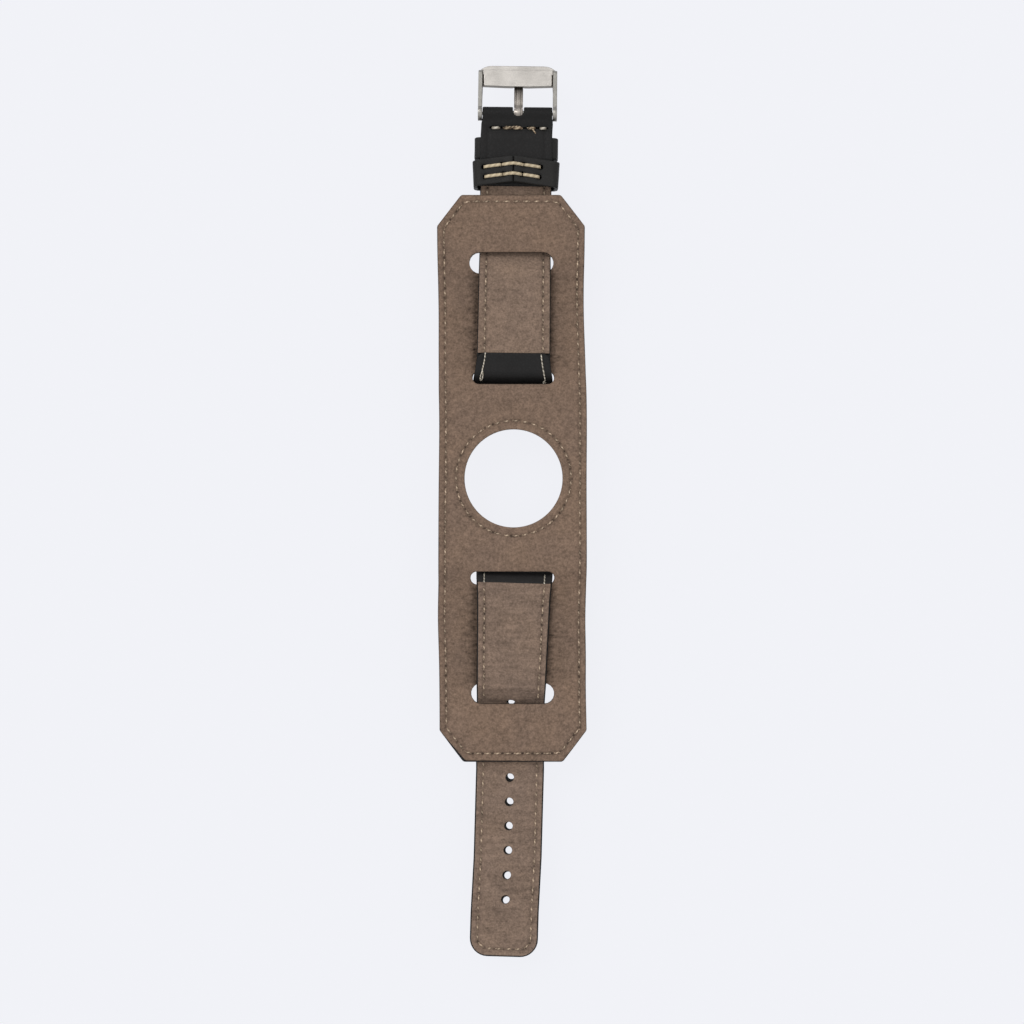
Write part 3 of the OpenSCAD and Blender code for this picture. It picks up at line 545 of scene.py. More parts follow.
# %% A line that leather can be laid on
class Line:
    """A smooth path in a side view, with the distance along it and its direction."""

    def __init__(self, points, step=0.12, soften=3):
        points = np.array(points, float)
        gaps = np.linalg.norm(np.diff(points, axis=0), axis=1)
        keep = np.concatenate([[True], gaps > 1e-6])
        points = points[keep]
        marks = np.concatenate([[0], np.cumsum(np.linalg.norm(np.diff(points, axis=0), axis=1))])
        fine = np.linspace(0, marks[-1], max(8, int(marks[-1] / step)))
        p = np.stack([np.interp(fine, marks, points[:, axis]) for axis in (0, 1)], 1)
        for _ in range(soften):
            p[1:-1] = (p[:-2] + 2 * p[1:-1] + p[2:]) / 4
        self.points = p
        self.s = np.concatenate([[0], np.cumsum(np.linalg.norm(np.diff(p, axis=0), axis=1))])
        self.length = float(self.s[-1])
        self.angle = np.unwrap(np.arctan2(*np.gradient(p, axis=0).T[::-1]))

    def at(self, s, h):
        """Points at distance s along the line and h to its left."""
        a = np.interp(s, self.s, self.angle)
        u = np.interp(s, self.s, self.points[:, 0]) - np.sin(a) * h
        v = np.interp(s, self.s, self.points[:, 1]) + np.cos(a) * h
        return u, v

    def find(self, y, first=0.0):
        """The first distance past first where the line comes to y."""
        from_here = np.where(self.s >= first)[0]
        values = self.points[from_here, 0] - y
        flips = np.where(values[:-1] * values[1:] <= 0)[0]
        return float(self.s[from_here[flips[0]]])


def offset(points, distance):
    """The same path moved sideways, to its left."""
    points = np.array(points, float)
    run = np.gradient(points, axis=0)
    run /= np.linalg.norm(run, axis=1)[:, None]
    return points + np.stack([-run[:, 1], run[:, 0]], 1) * distance


def touch(point, centre, radius, side):
    """The angle at which a line from the point touches a circle."""
    v = np.array(point) - centre
    return math.atan2(v[1], v[0]) + side * math.acos(radius / np.linalg.norm(v))


def around(centre, radius, start, stop):
    """Points on a circle from the angle start to the angle stop."""
    angles = np.linspace(start, stop, 28)
    return np.stack([centre[0] + radius * np.cos(angles), centre[1] + radius * np.sin(angles)], 1)


print("buckle strap, mm along its middle:", round(Line(buckle_middle).length, 1))
print("tail strap, mm along its middle:", round(Line(tail_middle).length, 1))

# %% [markdown]
# ## Cutting a sheet of leather
#
# Every leather piece starts as it does on a bench: an outline cut from a flat sheet. Blender's
# triangle fill closes the outline round its holes, a few insets make narrow rings along every
# edge, and plane cuts divide the rest into cells of about a millimetre, so that the sheet can bend.
# The sheet is then extruded to its thickness, its edges are rounded by pulling the outer rings in,
# pits are pressed into it round the coarse stitches, and only at the end is it laid on its line.
# Working flat first keeps seams, holes and edges simple.


# %% Distances from outlines and seams
def segment_distance(points, loop, closed=True):
    """For each point: the distance to a polyline, and how far along it the nearest place is."""
    loop = np.array(loop, float)
    starts = loop if closed else loop[:-1]
    ends = np.roll(loop, -1, axis=0) if closed else loop[1:]
    marks = np.concatenate([[0], np.cumsum(np.linalg.norm(ends - starts, axis=1))])
    best = np.full(len(points), 1e9)
    along = np.zeros(len(points))
    for k, (a, b) in enumerate(zip(starts, ends)):
        run = b - a
        t = np.clip(((points - a) @ run) / max(run @ run, 1e-12), 0, 1)
        gap = np.linalg.norm(points - (a + t[:, None] * run), axis=1)
        nearer = gap < best
        best[nearer] = gap[nearer]
        along[nearer] = marks[k] + t[nearer] * math.sqrt(run @ run)
    return best, along


class Seam:
    """A row of stitches on a flat sheet. Its pitch is adjusted to fit a whole number of them."""

    def __init__(self, points, pitch, closed=False):
        self.points = np.array(points, float)
        self.closed = closed
        ends = np.roll(self.points, -1, axis=0) if closed else self.points[1:]
        starts = self.points if closed else self.points[:-1]
        self.marks = np.concatenate([[0], np.cumsum(np.linalg.norm(ends - starts, axis=1))])
        self.count = max(1, round(self.marks[-1] / pitch))
        self.pitch = self.marks[-1] / self.count

    def at(self, distance):
        track = np.vstack([self.points, self.points[:1]]) if self.closed else self.points
        return np.array([np.interp(distance, self.marks, track[:, 0]),
                         np.interp(distance, self.marks, track[:, 1])])


# %% A flat sheet from its outlines
def cut(bm, place, normal, clear=False):
    """Cuts the whole mesh with a plane, and with clear drops what lies behind it."""
    bmesh.ops.bisect_plane(bm, geom=bm.verts[:] + bm.edges[:] + bm.faces[:], dist=1e-5,
                           plane_co=place, plane_no=normal, clear_inner=clear)


RIMS = (0.03, 0.1, 0.22, 0.42)


def flat_sheet(loops, pitch):
    """A flat mesh inside the first loop and outside the others, with rings along every edge."""
    bm = bmesh.new()
    for loop in loops:
        corners = [bm.verts.new((x, s, 0)) for x, s in loop]
        for a, b in zip(corners, corners[1:] + corners[:1]):
            bm.edges.new((a, b))
    bmesh.ops.triangle_fill(bm, use_beauty=True, use_dissolve=False, edges=bm.edges[:],
                            normal=(0, 0, 1))
    inside = bm.faces[:]
    reached = 0
    for rim in RIMS:
        bmesh.ops.inset_region(bm, faces=inside, use_boundary=True, use_even_offset=True,
                               thickness=rim - reached, depth=0)
        reached = rim
    low = Vector((min(v.co.x for v in bm.verts), min(v.co.y for v in bm.verts)))
    high = Vector((max(v.co.x for v in bm.verts), max(v.co.y for v in bm.verts)))
    for axis in (0, 1):
        step = pitch[axis]
        cuts = int((high[axis] - low[axis]) / step)
        for k in range(1, cuts + 1):
            spot = Vector((0, 0, 0))
            spot[axis] = low[axis] + (high[axis] - low[axis]) * k / (cuts + 1)
            normal = Vector((0, 0, 0))
            normal[axis] = 1
            cut(bm, spot, normal)
    bmesh.ops.remove_doubles(bm, verts=bm.verts[:], dist=0.012)
    return bm


# %% Thickness, rounded edges and the seam groove
def leather(loops, low, high, lay, seams=(), edge_r=0.28, pitch=(1.1, 1.1), groove=(0, 0),
            relief=None, shade=None):
    """A closed sheet between the heights low and high, laid in place by lay(x, s, h)."""
    bm = flat_sheet(loops, pitch)
    layer = bm.verts.layers.float_vector.new("seam")
    made = bmesh.ops.extrude_face_region(bm, geom=bm.faces[:], use_keep_orig=True)["geom"]
    over = {g for g in made if isinstance(g, bmesh.types.BMVert)}
    verts = bm.verts[:]
    flat = np.array([(v.co.x, v.co.y) for v in verts])
    gaps = np.array([segment_distance(flat, loop)[0] for loop in loops])
    edge = gaps.min(axis=0)
    away = np.full(len(verts), 9.0)
    along = np.zeros(len(verts))
    for seam in seams:
        gap, run = segment_distance(flat, seam.points, seam.closed)
        nearer = gap < away
        away[nearer] = gap[nearer]
        along[nearer] = run[nearer] / seam.pitch
    pulled = np.clip(edge_r - edge, 0, edge_r)
    drop = edge_r - np.sqrt(np.maximum(edge_r ** 2 - pulled ** 2, 0))
    press = np.exp(-(away / 0.45) ** 2)
    top = np.array([v in over for v in verts])
    h = np.where(top, high - drop - groove[1] * press, low + drop + groove[0] * press)
    if relief is not None:
        h = h + relief(flat[:, 0], flat[:, 1], top, gaps)
    placed = lay(flat[:, 0], flat[:, 1], h)
    dark = shade(flat[:, 0], flat[:, 1]) if shade else np.zeros(len(verts))
    for v, co, u, w, d in zip(verts, np.stack(placed, 1), along, away, dark):
        v.co = co
        v[layer] = (u, w, d)
    for face in bm.faces:
        sides = {v in over for v in face.verts}
        face.material_index = 1 if len(sides) == 2 else 0
        face.smooth = True
    bmesh.ops.recalc_face_normals(bm, faces=bm.faces[:])
    return bm


# %% Pits round single stitches
def swell(y, centre, reach):
    """A soft hump: 1 at its centre, about a third at the distance reach."""
    return np.exp(-((y - centre) / reach) ** 2)


def pits(stitches, reach):
    """How deep in a stitch's pit each flat point lies, 0 to 1."""
    def depth(x, s):
        points = np.stack([x, s], 1)
        gaps = [segment_distance(points, stitch, closed=False)[0] for stitch in stitches]
        return swell(np.min(gaps, axis=0), 0, reach)
    return depth


def holed(bm, limit):
    """The leather deep in the stitches' pits gets the third material: a needle hole's painted
    shade.
    """
    layer = bm.verts.layers.float_vector["seam"]
    for face in bm.faces:
        if face.material_index == 0 and min(v[layer].z for v in face.verts) > limit:
            face.material_index = 2
    return bm


# %% A finished piece
def piece(name, bm, materials, body, nodes=()):
    """Writes the mesh in metres, and says what body it rides on and which nodes it replaces."""
    bmesh.ops.scale(bm, vec=(MM, MM, MM), verts=bm.verts[:])
    mesh = bpy.data.meshes.new(name)
    bm.to_mesh(mesh)
    bm.free()
    for material in materials:
        mesh.materials.append(material)
    obj = add(name, mesh)
    if body:
        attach(obj, body)
    if nodes:
        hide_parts(*nodes)
    print(name, "faces:", len(mesh.polygons))
    return obj


# %% [markdown]
# ## Sewing
#
# A stitch is a short length of thread that comes up through one needle hole and goes down
# through the next, so its middle lies on the leather and its ends dive into it. One template
# is made from a cylinder: it is cut across, its ends are bent down and thinned, and it is copied
# along each seam. The copies are made flat and then laid on the same line as the leather.


# %% One stitch, copied along seams
STITCH_CUTS, STITCH_SIDES = 6, 8


def stitch_template():
    """A round rod from x = -0.5 to 0.5, cut across, with a UV map along and round it."""
    bm = bmesh.new()
    bmesh.ops.create_cone(bm, cap_ends=True, segments=STITCH_SIDES, radius1=1, radius2=1, depth=1,
                          matrix=Matrix.Rotation(math.pi / 2, 4, "Y"))
    for k in range(1, STITCH_CUTS):
        cut(bm, (k / STITCH_CUTS - 0.5, 0, 0), (1, 0, 0))
    uv = bm.loops.layers.uv.new("twist")
    for face in bm.faces:
        face.smooth = True
        turns = [math.atan2(loop.vert.co.z, loop.vert.co.y) / (2 * math.pi) for loop in face.loops]
        if max(turns) - min(turns) > 0.5:
            turns = [t + 1 if t < 0 else t for t in turns]
        for loop, t in zip(face.loops, turns):
            loop[uv].uv = (loop.vert.co.x, t)
    mesh = bpy.data.meshes.new("stitch template")
    bm.to_mesh(mesh)
    bm.free()
    return mesh


STITCH = stitch_template()
print("faces in one stitch:", len(STITCH.polygons))


def new_sewing():
    bm = bmesh.new()
    bm.loops.layers.uv.new("twist")
    return bm


def sew(bm, start, stop, radius, height, dip, lift=0.0, blunt=False):
    """Adds one stitch from start to stop on the flat leather, its middle at height."""
    first_vert, first_face = len(bm.verts), len(bm.faces)
    bm.from_mesh(STITCH)
    start, stop = np.array(start, float), np.array(stop, float)
    run = stop - start
    length = float(np.linalg.norm(run))
    side = np.array([-run[1], run[0]]) / length
    uv = bm.loops.layers.uv["twist"]
    for face in bm.faces[first_face:]:
        for loop in face.loops:
            loop[uv].uv.x *= length / (6 * radius)
    for v in bm.verts[first_vert:]:
        t = abs(v.co.x) * 2
        thin = radius * (1 - (0.08 if blunt else 0.3) * t ** 4)
        flat = (start + stop) / 2 + run * v.co.x + side * (v.co.y * thin)
        v.co = (flat[0], flat[1], height + lift * (1 - t * t) - dip * t ** 6 + v.co.z * thin)


FINE_R, FINE_DIP, FINE_SHARE = 0.2, 0.32, 0.74


def sew_seam(bm, seam, height, side, shake, keep=None):
    """Sews a seam in fine thread on the upper (1) or lower (-1) face.

    shake moves each stitch a little, as a machine does, and only the stitches are sewn whose
    distance along the strap passes keep.
    """
    for k in range(seam.count):
        if keep and not keep(float(seam.at((k + 0.5) * seam.pitch)[1])):
            continue
        wander = np.array([shake.uniform(-0.05, 0.05), shake.uniform(-0.05, 0.05)])
        sunk = math.copysign(0.17 * shake.random() ** 1.5, side)
        a = seam.at((k + (1 - FINE_SHARE) / 2) * seam.pitch) + wander
        b = seam.at((k + (1 + FINE_SHARE) / 2) * seam.pitch) - wander
        sew(bm, a, b, FINE_R, height - sunk, side * FINE_DIP)


def lay_sewing(bm, lay):
    """Lays flat sewing in place, as lay does with the leather under it."""
    verts = bm.verts[:]
    co = np.array([tuple(v.co) for v in verts])
    placed = np.stack(lay(co[:, 0], co[:, 1], co[:, 2]), 1)
    for v, p in zip(verts, placed):
        v.co = p
    bmesh.ops.recalc_face_normals(bm, faces=bm.faces[:])
    return bm


# %% [markdown]
# ## Laying leather in place
#
# The pad is draped: each point keeps its place in the plan and takes the height of the wave there.
# The straps are wrapped: a point that lies so far along the flat strap goes to that distance
# along its line. Both straps then lean by about a degree, because nobody lays them down straight.


# %% Drape, wrap and lean
def smooth(value, low, high):
    """0 below low, 1 above high, and an even slope between."""
    t = np.clip((value - low) / (high - low), 0, 1)
    return t * t * (3 - 2 * t)


def span(value, start, full, fade, stop):
    """1 between full and fade, 0 before start and after stop."""
    return smooth(value, start, full) * (1 - smooth(value, fade, stop))


def lean_about(y, degrees, half_turn=False):
    """Turns points about a spot in an inner slot."""
    angle = math.radians(-degrees)
    c, s = math.cos(angle), math.sin(angle)

    def turn(x, yy, z):
        if half_turn:
            x, yy = -x, -yy
        dy = yy - y
        return STRAP_X + x * c - dy * s, y + x * s + dy * c, z
    return turn


def strayed(turn, places, shifts):
    """Adds how far the strap strays sideways at each y."""
    def lay(x, y, z):
        x, y, z = turn(x, y, z)
        return x + np.interp(y, places, shifts), y, z
    return lay


SLOT_MIDDLE = sum(INNER_SLOT) / 2
buckle_turn = strayed(lean_about(SLOT_MIDDLE, BUCKLE_LEAN), (25, 33, 57, 88, 92),
                      (-0.35, -0.26, -0.2, -0.18, 0))
tail_turn = strayed(lean_about(-SLOT_MIDDLE, TAIL_LEAN, half_turn=True), (-112, -98, -75, -66),
                    (0, 0.36, 0.33, 0))


def wrap(line, turn):
    """Lays a flat strap on its line, and then leans it."""
    def lay(x, s, h):
        y, z = line.at(s, h)
        return turn(x, y, z)
    return lay


def bumps(x, y, size, amount, seed):
    """Gentle hills and hollows, the same each run."""
    spots = [Vector((a / size + seed, b / size - seed, seed)) for a, b in zip(x, y)]
    return np.array([noise.noise(spot) for spot in spots]) * amount


def arc_points(cx, cy, r, start, stop, steps=8):
    angles = np.radians(np.linspace(start, stop, steps + 1))
    return [(cx + r * math.cos(a), cy + r * math.sin(a)) for a in angles]


# %% Half widths of the straps
def narrowed(width, y):
    """Half the width of a strap at a distance from the opening."""
    places = [INNER_SLOT[0] - 2, INNER_SLOT[1] + 3.4, OUTER_SLOT[1]]
    return np.interp(y, places, [LUG_W / 2, WAIST_W / 2, width / 2])


def flared(y):
    """How far the worn end of the buckle strap has spread to each side inside the slot."""
    return 0.42 * swell(y, INNER_SLOT[0] + 0.6, 2.6)


# %% [markdown]
# ## The wrist pad
#
# The pad is an octagon of 38 by 145 mm: black calf outside, nubuck inside, a thin board between.
# It is cut by hand, so its corners are slightly soft and its sides wander by a few tenths of a
# millimetre. The lining is puffed up a little between its seams by the board, the seam pulls it
# down near the edge, and each strap has pressed its own bed into it. Beside each strap the nubuck
# gets painted shade, and a dark line runs along its cut edge.


# %% Outlines of the pad
def soft_octagon(inset, round_r, nip=0.0):
    """The pad's outline, its eight corners rounded. nip pulls in the corner at the lower left."""
    w, l = PAD_W / 2 - inset, PAD_END - inset
    lean = CORNER_L / CORNER_W
    side = math.sqrt(1 + lean * lean)
    cut_x = CORNER_W - inset * (1 + lean - side) / lean
    cut_y = CORNER_L - inset * (1 + lean - side)
    corners = [(w, l - cut_y), (w - cut_x, l), (-w + cut_x, l), (-w, l - cut_y),
               (-w, -l + cut_y), (-w + cut_x + nip, -l + nip * 0.7), (w - cut_x, -l + nip * 0.3),
               (w, -l + cut_y)]
    points = []
    for k, corner in enumerate(corners):
        before, after = corners[k - 1], corners[(k + 1) % len(corners)]
        path = rounded([before, corner, after], [round_r], 5)
        points += [tuple(p) for p in path[1:-1]]
    return points


def slot_loop(slot, side):
    """A slot with round ends. side is 1 towards the buckle and -1 towards the tail."""
    y1, y2 = sorted((side * slot[0], side * slot[1]))
    r = (y2 - y1) / 2
    x = SLOT_W / 2 - r
    middle = (y1 + y2) / 2
    return arc_points(x, middle, r, -90, 90, 9) + arc_points(-x, middle, r, 90, 270, 9)


def pad_loops(inset, nip=0.0):
    holes = [slot_loop(slot, side) for side in (1, -1) for slot in (INNER_SLOT, OUTER_SLOT)]
    opening = arc_points(0, 0, OPENING_R, 0, 360, 96)[:-1]
    return [soft_octagon(inset, 1.1, nip)] + holes + [opening]


def hand_cut(x, y):
    """A pad cut by hand: its sides wander, its buckle end leans left, and the opening stays put."""
    lean = (-0.25 - 0.42 * smooth(y, 15, 52) - 0.24 * swell(y, -36, 8) + 0.12 * swell(y, 13, 10)
            + 0.13 * smooth(-y, 52, 66))
    spread = -0.27 * swell(y, 44, 12) + 0.10 * swell(y, -18, 16) - 0.12 * swell(y, -56, 10)
    free = smooth(np.hypot(x, y), 15, 18.5)
    slot = 1 - smooth(np.abs(x), 12, 15)
    moved = slot * swell(y, SLOT_MIDDLE, 4.5) * (0.26 - 0.022 * x)
    moved += 0.26 * slot * smooth(x, 7, 9.5) * swell(y, sum(OUTER_SLOT) / 2, 4)
    raised = 0.3 * slot * swell(y, -SLOT_MIDDLE, 4.5) - 0.3 * smooth(-y, 60, 72.7)
    return x + free * (lean + moved + spread * x / (PAD_W / 2)), y + raised


def drape(low_depth, high_depth):
    """Lays a sheet on the wave, from its layer's lower face to its upper face."""
    low, high = pad_surface(low_depth), pad_surface(high_depth)

    def lay(x, y, h):
        x, y = hand_cut(x, y)
        return x, y, low(y) + (high(y) - low(y)) * h / (high_depth - low_depth)
    return lay


pad_round = [(x, y + 0.45 * float(smooth(-y, 62, 70)))
             for x, y in soft_octagon(PAD_SEAM_INSET, 0.6)]
pad_seam = Seam(pad_round, PAD_PITCH, closed=True)
opening_round = arc_points(0, 0, OPENING_R + OPENING_SEAM_INSET, 0, 360, 120)[:-1]
opening_seam = Seam(opening_round, OPENING_PITCH, closed=True)
print("stitches in the pad:", pad_seam.count, "and", opening_seam.count)


# %% The pad's lining and outer leather
def pad_wander(x, y):
    """How the whole pad rises and falls, in millimetres: it was worn, and never lies quite flat."""
    return bumps(x, y, 21.0, 0.10, 3.1) + bumps(x, y, 6.5, 0.05, 7.7)


def from_strap(x, y):
    """How far outside the strap's edge a point of the pad lies, and 1 between the two slots."""
    reach = np.abs(y)
    middle = STRAP_X + (reach - SLOT_MIDDLE) * np.where(
        y > 0, math.tan(math.radians(BUCKLE_LEAN)), -math.tan(math.radians(TAIL_LEAN)))
    half = np.where(y > 0, narrowed(BUCKLE_STRAP_W, reach), narrowed(TAIL_W, reach))
    inner, outer = INNER_SLOT[1], OUTER_SLOT[0]
    between = span(reach, inner - 0.5, inner + 1.5, outer - 0.5, outer + 1.5)
    return np.abs(x - middle) - half, between


def pressed(x, y):
    """The strap has pressed a shallow bed into the pad, with a soft rim and creases beside it."""
    gap, between = from_strap(x, y)
    bed = -0.42 * (1 - smooth(gap, -0.6, 1.3)) * between
    rim = 0.14 * swell(gap, 2.4, 1.3) * between
    phase = y * 5.2 + np.abs(x) * 2.1 + 2.6 * np.sin(x * 1.3 + y * 0.7)
    return bed + rim + np.sin(phase) * swell(gap, 2.4, 1.9) * between * 0.06


def strap_shade(x, y):
    """Painted shade beside the strap, most on its left, and a dark line at the pad's cut edge."""
    gap, between = from_strap(x, y)
    # Painted shade beside the strap, stronger on its left, with a fainter wide band further out.
    band = swell(gap, 0.0, 1.5) * np.where(x < 0, 0.45, 0.30)
    strap_shadow = between * (band + 0.19 * swell(gap, 2.8, 3.2)) * (1 - 0.25 * smooth(gap, -3, -1.5))
    edge = segment_distance(np.stack([x, y], 1), soft_octagon(0.1, 1.1, 0.5))[0]
    return np.maximum(strap_shadow, (0.32 + 0.22 * smooth(y, 60, 70)) * swell(edge, 0, 0.2))


def lining_relief(x, y, top, gaps):
    """Puffed up over the board, which lies in a pocket on the lining's lower face."""
    edge = gaps.min(axis=0)
    board = np.minimum(smooth(gaps[0], 2.9, 3.5), smooth(gaps[1:].min(axis=0), 0.8, 1.1))
    puff = 0.10 * (1 - np.exp(-np.maximum(edge - 1.9, 0) / 1.2))
    return pad_wander(x, y) + pressed(x, y) + np.where(top, puff, CORE_T * board)


def outer_relief(x, y, top, gaps):
    return pad_wander(x, y) + pressed(x, y)


piece("pad_lining_sheet",
      leather(pad_loops(0.1, nip=0.5), 0, 1.0, drape(OUTER_T, PAD_T), [pad_seam, opening_seam],
              pitch=(0.75, 1.0), groove=(0, 0.10), relief=lining_relief, shade=strap_shade),
      [pad_nubuck, brown_edge], "strap", ["pad_lining"])
piece("pad_outer_sheet",
      leather(pad_loops(0), 0, OUTER_T, drape(0, OUTER_T), [pad_seam, opening_seam],
              groove=(0.08, 0), relief=outer_relief),
      [black_calf, black_edge], "strap", ["pad_leather"])

# %% [markdown]
# The pad's seams run round the octagon and round the opening. The beige thread hardly stands out
# from the nubuck, but it catches the light. The same seams show on the black outer face.


# %% The pad's seams
def on_the_pad(x, y, h):
    """Lays sewing on the pad, from 0 on its outer face to PAD_T on its lining."""
    wander = pad_wander(x, y)
    x, y = hand_cut(x, y)
    under, over = PAD_UNDER(y), PAD_OVER(y)
    return x, y, under + (over - under) * h / PAD_T + wander


shake = random.Random(11)
for name, seam, node in (("pad_edge_threads", pad_seam, "pad_edge_stitches"),
                         ("opening_threads", opening_seam, "opening_stitches")):
    sewing = new_sewing()
    sew_seam(sewing, seam, PAD_T + 0.06, 1, shake)
    sew_seam(sewing, seam, -0.04, -1, shake)
    piece(name, lay_sewing(sewing, on_the_pad), [fine_thread], "strap", [node])

# %% [markdown]
# ## The buckle strap
#
# One long piece of calf makes the outer face and both turned-back flaps: it starts on the lining
# side, goes round the watch's bar, runs under the pad, and folds back over the buckle's bar. The
# lining lies between the two flaps. So the calf is laid on one line that turns back on itself
# twice, exactly as the cutter skives and folds it.


# %% A strip's outline
def strip_outline(half, first, last, corners=(0.0, 0.0)):
    """A strip's outline in the flat. half(s) is half its width, corners round its two ends."""
    marks = np.linspace(first, last, max(8, int((last - first) / 0.8)))
    rows = [(half(s), s) for s in marks if first + corners[0] < s < last - corners[1]]
    start, end = corners
    w0, w1 = half(first), half(last)
    low = arc_points(w0 - start, first + start, start, -90, 0, 5) if start else [(w0, first)]
    high = arc_points(w1 - end, last - end, end, 0, 90, 8) if end else [(w1, last)]
    right = low + rows + high
    return right + [(-x, s) for x, s in reversed(right)]


# %% The line of the buckle strap's calf
SKIN = LEATHER_T / 2
LINING_END = BAR_Y - FOLD_BORE_R - 0.9
BUMP_Z = FLAP_Z + 0.6 + SEAT


def round_the_lug(middle, lug_y, flap_y):
    """The calf's line from the lug flap's end, round the watch's bar, to the outer face."""
    high = offset(middle, HALF_T - SKIN)[1:]
    low = offset(middle, SKIN - HALF_T)[1:]
    centre = np.array([lug_y, LUG_Z])
    radius = LUG_BORE_R + SKIN
    flap = [flap_y, np.interp(flap_y, high[:, 0], high[:, 1])]
    back = high[high[:, 0] < flap_y - 0.05]
    above = touch(high[0], centre, radius, 1)
    below = touch(low[0], centre, radius, -1)
    turn = around(centre, radius, above, below + 2 * math.pi)
    return np.vstack([[flap], back[::-1], turn, low])


bar = np.array([BAR_Y, BAR_Z])
FIXED_END = FIXED_Y + FIXED_W
fold_top = [(LINING_END, FLAP_Z), (FIXED_END + 2.2, FLAP_Z), (FIXED_END + 0.1, BUMP_Z),
            (FIXED_Y - 0.1, BUMP_Z), (FIXED_Y - 2.2, FLAP_Z), (FLAP_END, FLAP_Z)]
fold_top = [(y, z + SKIN) for y, z in fold_top]
fold_low = (LINING_END, STRAP_FACE_Z + SKIN)
below = touch(fold_low, bar, FOLD_BORE_R + SKIN, 1)
above = touch(fold_top[0], bar, FOLD_BORE_R + SKIN, -1)
fold = around(bar, FOLD_BORE_R + SKIN, below, above)
buckle_calf = Line(np.vstack([round_the_lug(buckle_middle, BUCKLE_LUG, BUCKLE_LUG_FLAP)[:-1],
                              [fold_low], fold, fold_top]), soften=6)
tail_calf = Line(round_the_lug(tail_middle, TAIL_LUG, TAIL_LUG_FLAP), soften=6)
buckle_line, tail_line = Line(buckle_middle), Line(tail_middle)
print("calf of the buckle strap, mm:", round(buckle_calf.length, 1))
print("calf of the tail strap, mm:", round(tail_calf.length, 1))


# %% The buckle strap's calf, with its lug flap, its fold and its notch for the tongue
FOLD_W = FRAME_GAP - 0.26
NOTCH_W = 2.8
TONGUE_R = 0.82 + 0.7


def buckle_half(line):
    def half(s):
        y = float(np.interp(s, line.s, line.points[:, 0]))
        wide = narrowed(BUCKLE_STRAP_W, y) + flared(y)
        shoulder = smooth(y, BAR_Y - 2.4, BAR_Y - 1.6)
        return float(wide * (1 - shoulder) + FOLD_W / 2 * shoulder)
    return half


def lug_fill(line, flap_y):
    """Fills the gap between the two layers of calf at the lug with a little extra thickness."""
    def relief(x, s, top, gaps):
        y = np.interp(s, line.s, line.points[:, 0])
        near = (y < flap_y) & (s < 60)
        fill = np.where(top & near, (STRAP_T - 2 * LEATHER_T) / 2, 0)
        return fill + bumps(x, s, 5.0, 0.035, 4.4)
    return relief


bar_s = buckle_calf.find(BAR_Y, 60)
notch_start = buckle_calf.find(BAR_Y - TONGUE_R - 1.8, 60)
notch_stop = buckle_calf.find(BAR_Y - 0.9, bar_s + 1.0)
notch = (arc_points(TONGUE_X, notch_stop - NOTCH_W / 2, NOTCH_W / 2, 0, 180, 12)
         + arc_points(TONGUE_X, notch_start + NOTCH_W / 2, NOTCH_W / 2, 180, 360, 12))


def side_seams(half, first, last):
    """The seams down both sides of a strap, one Seam each."""
    marks = np.linspace(first, last, max(4, int((last - first) / 1.5)))
    return [Seam([(side * (half(s) - SEAM_INSET), s) for s in marks], STRAP_PITCH)
            for side in (-1, 1)]


FOLD_Y = FIXED_END + 2.2 + 0.15
FOLD_ENDS = [(-6.5, -4.3), (-3.6, -1.3), (-1.15, 1.5), (2.7, 4.8), (5.8, 7.6)]
fold_s = buckle_calf.find(FOLD_Y, bar_s)
fold_pits = pits([((a, fold_s), (b, fold_s)) for a, b in FOLD_ENDS], 0.7)


def pitted(relief, depth, amount):
    """The same relief with pits pressed into the lower face of the flat sheet."""
    return lambda x, s, top, gaps: relief(x, s, top, gaps) + np.where(top, 0, depth(x, s) * amount)


def calf_shade(x, s):
    """Darker on the fold, painted shade in its pits, painted light where the flap dives under."""
    fold = span(s, bar_s - 1, bar_s + 0.5, fold_s - 0.5, fold_s + 1.5)
    # Painted shade in the pits, and painted light (negative shade) where the flap dives under the
    # pad.
    return np.maximum(0.75 * fold_pits(x, s), 0.35 * fold) - 0.35 * span(s, 5, 9, 9.5, 11)


half = buckle_half(buckle_calf)
calf_seams = side_seams(half, 0.8, buckle_calf.find(FIXED_Y - 0.6, 45))
calf_seams += side_seams(half, buckle_calf.find(FIXED_END + 2.0, bar_s), buckle_calf.length)
calf_relief = pitted(lug_fill(buckle_calf, BUCKLE_LUG_FLAP), fold_pits, 0.2)
sheet = leather([strip_outline(half, 0, buckle_calf.length, (2.2, 0.6)), notch], -SKIN, SKIN,
                wrap(buckle_calf, buckle_turn), calf_seams, edge_r=0.3, pitch=(0.55, 0.45),
                groove=(0.07, 0), relief=calf_relief, shade=calf_shade)
piece("buckle_strap_calf", holed(sheet, 0.35), [black_calf, black_edge, painted_pit_shade], "strap",
      ["buckle_strap_leather"])

# %% [markdown]
# ## The linings of the straps
#
# The straps' nubuck starts where the lug flap ends, and is set in a little from the calf, so that
# a thin black line shows beside it. The board under it leaves a shallow pocket below.


# %% The buckle strap's lining
def lining_creases(seed, first, last, pocket):
    """Faint creases across the strap, and the pocket for its board."""
    def relief(x, s, top, gaps):
        worn = span(s, first, first + 6, last - 6, last)
        across = bumps(x * 0.22, s, 1.5, 0.055, seed) + bumps(x * 0.22, s, 0.7, 0.025, seed + 3)
        hills = bumps(x, s, 6.0, 0.05, seed + 5)
        puff = 0.09 * smooth(gaps[0], 1.6, 3.6)
        board = CORE_T * smooth(gaps.min(axis=0), pocket - 0.3, pocket)
        return np.where(top, hills + worn * across + puff, board)
    return relief


def inset_half(half, inset):
    return lambda s: half(s) - inset


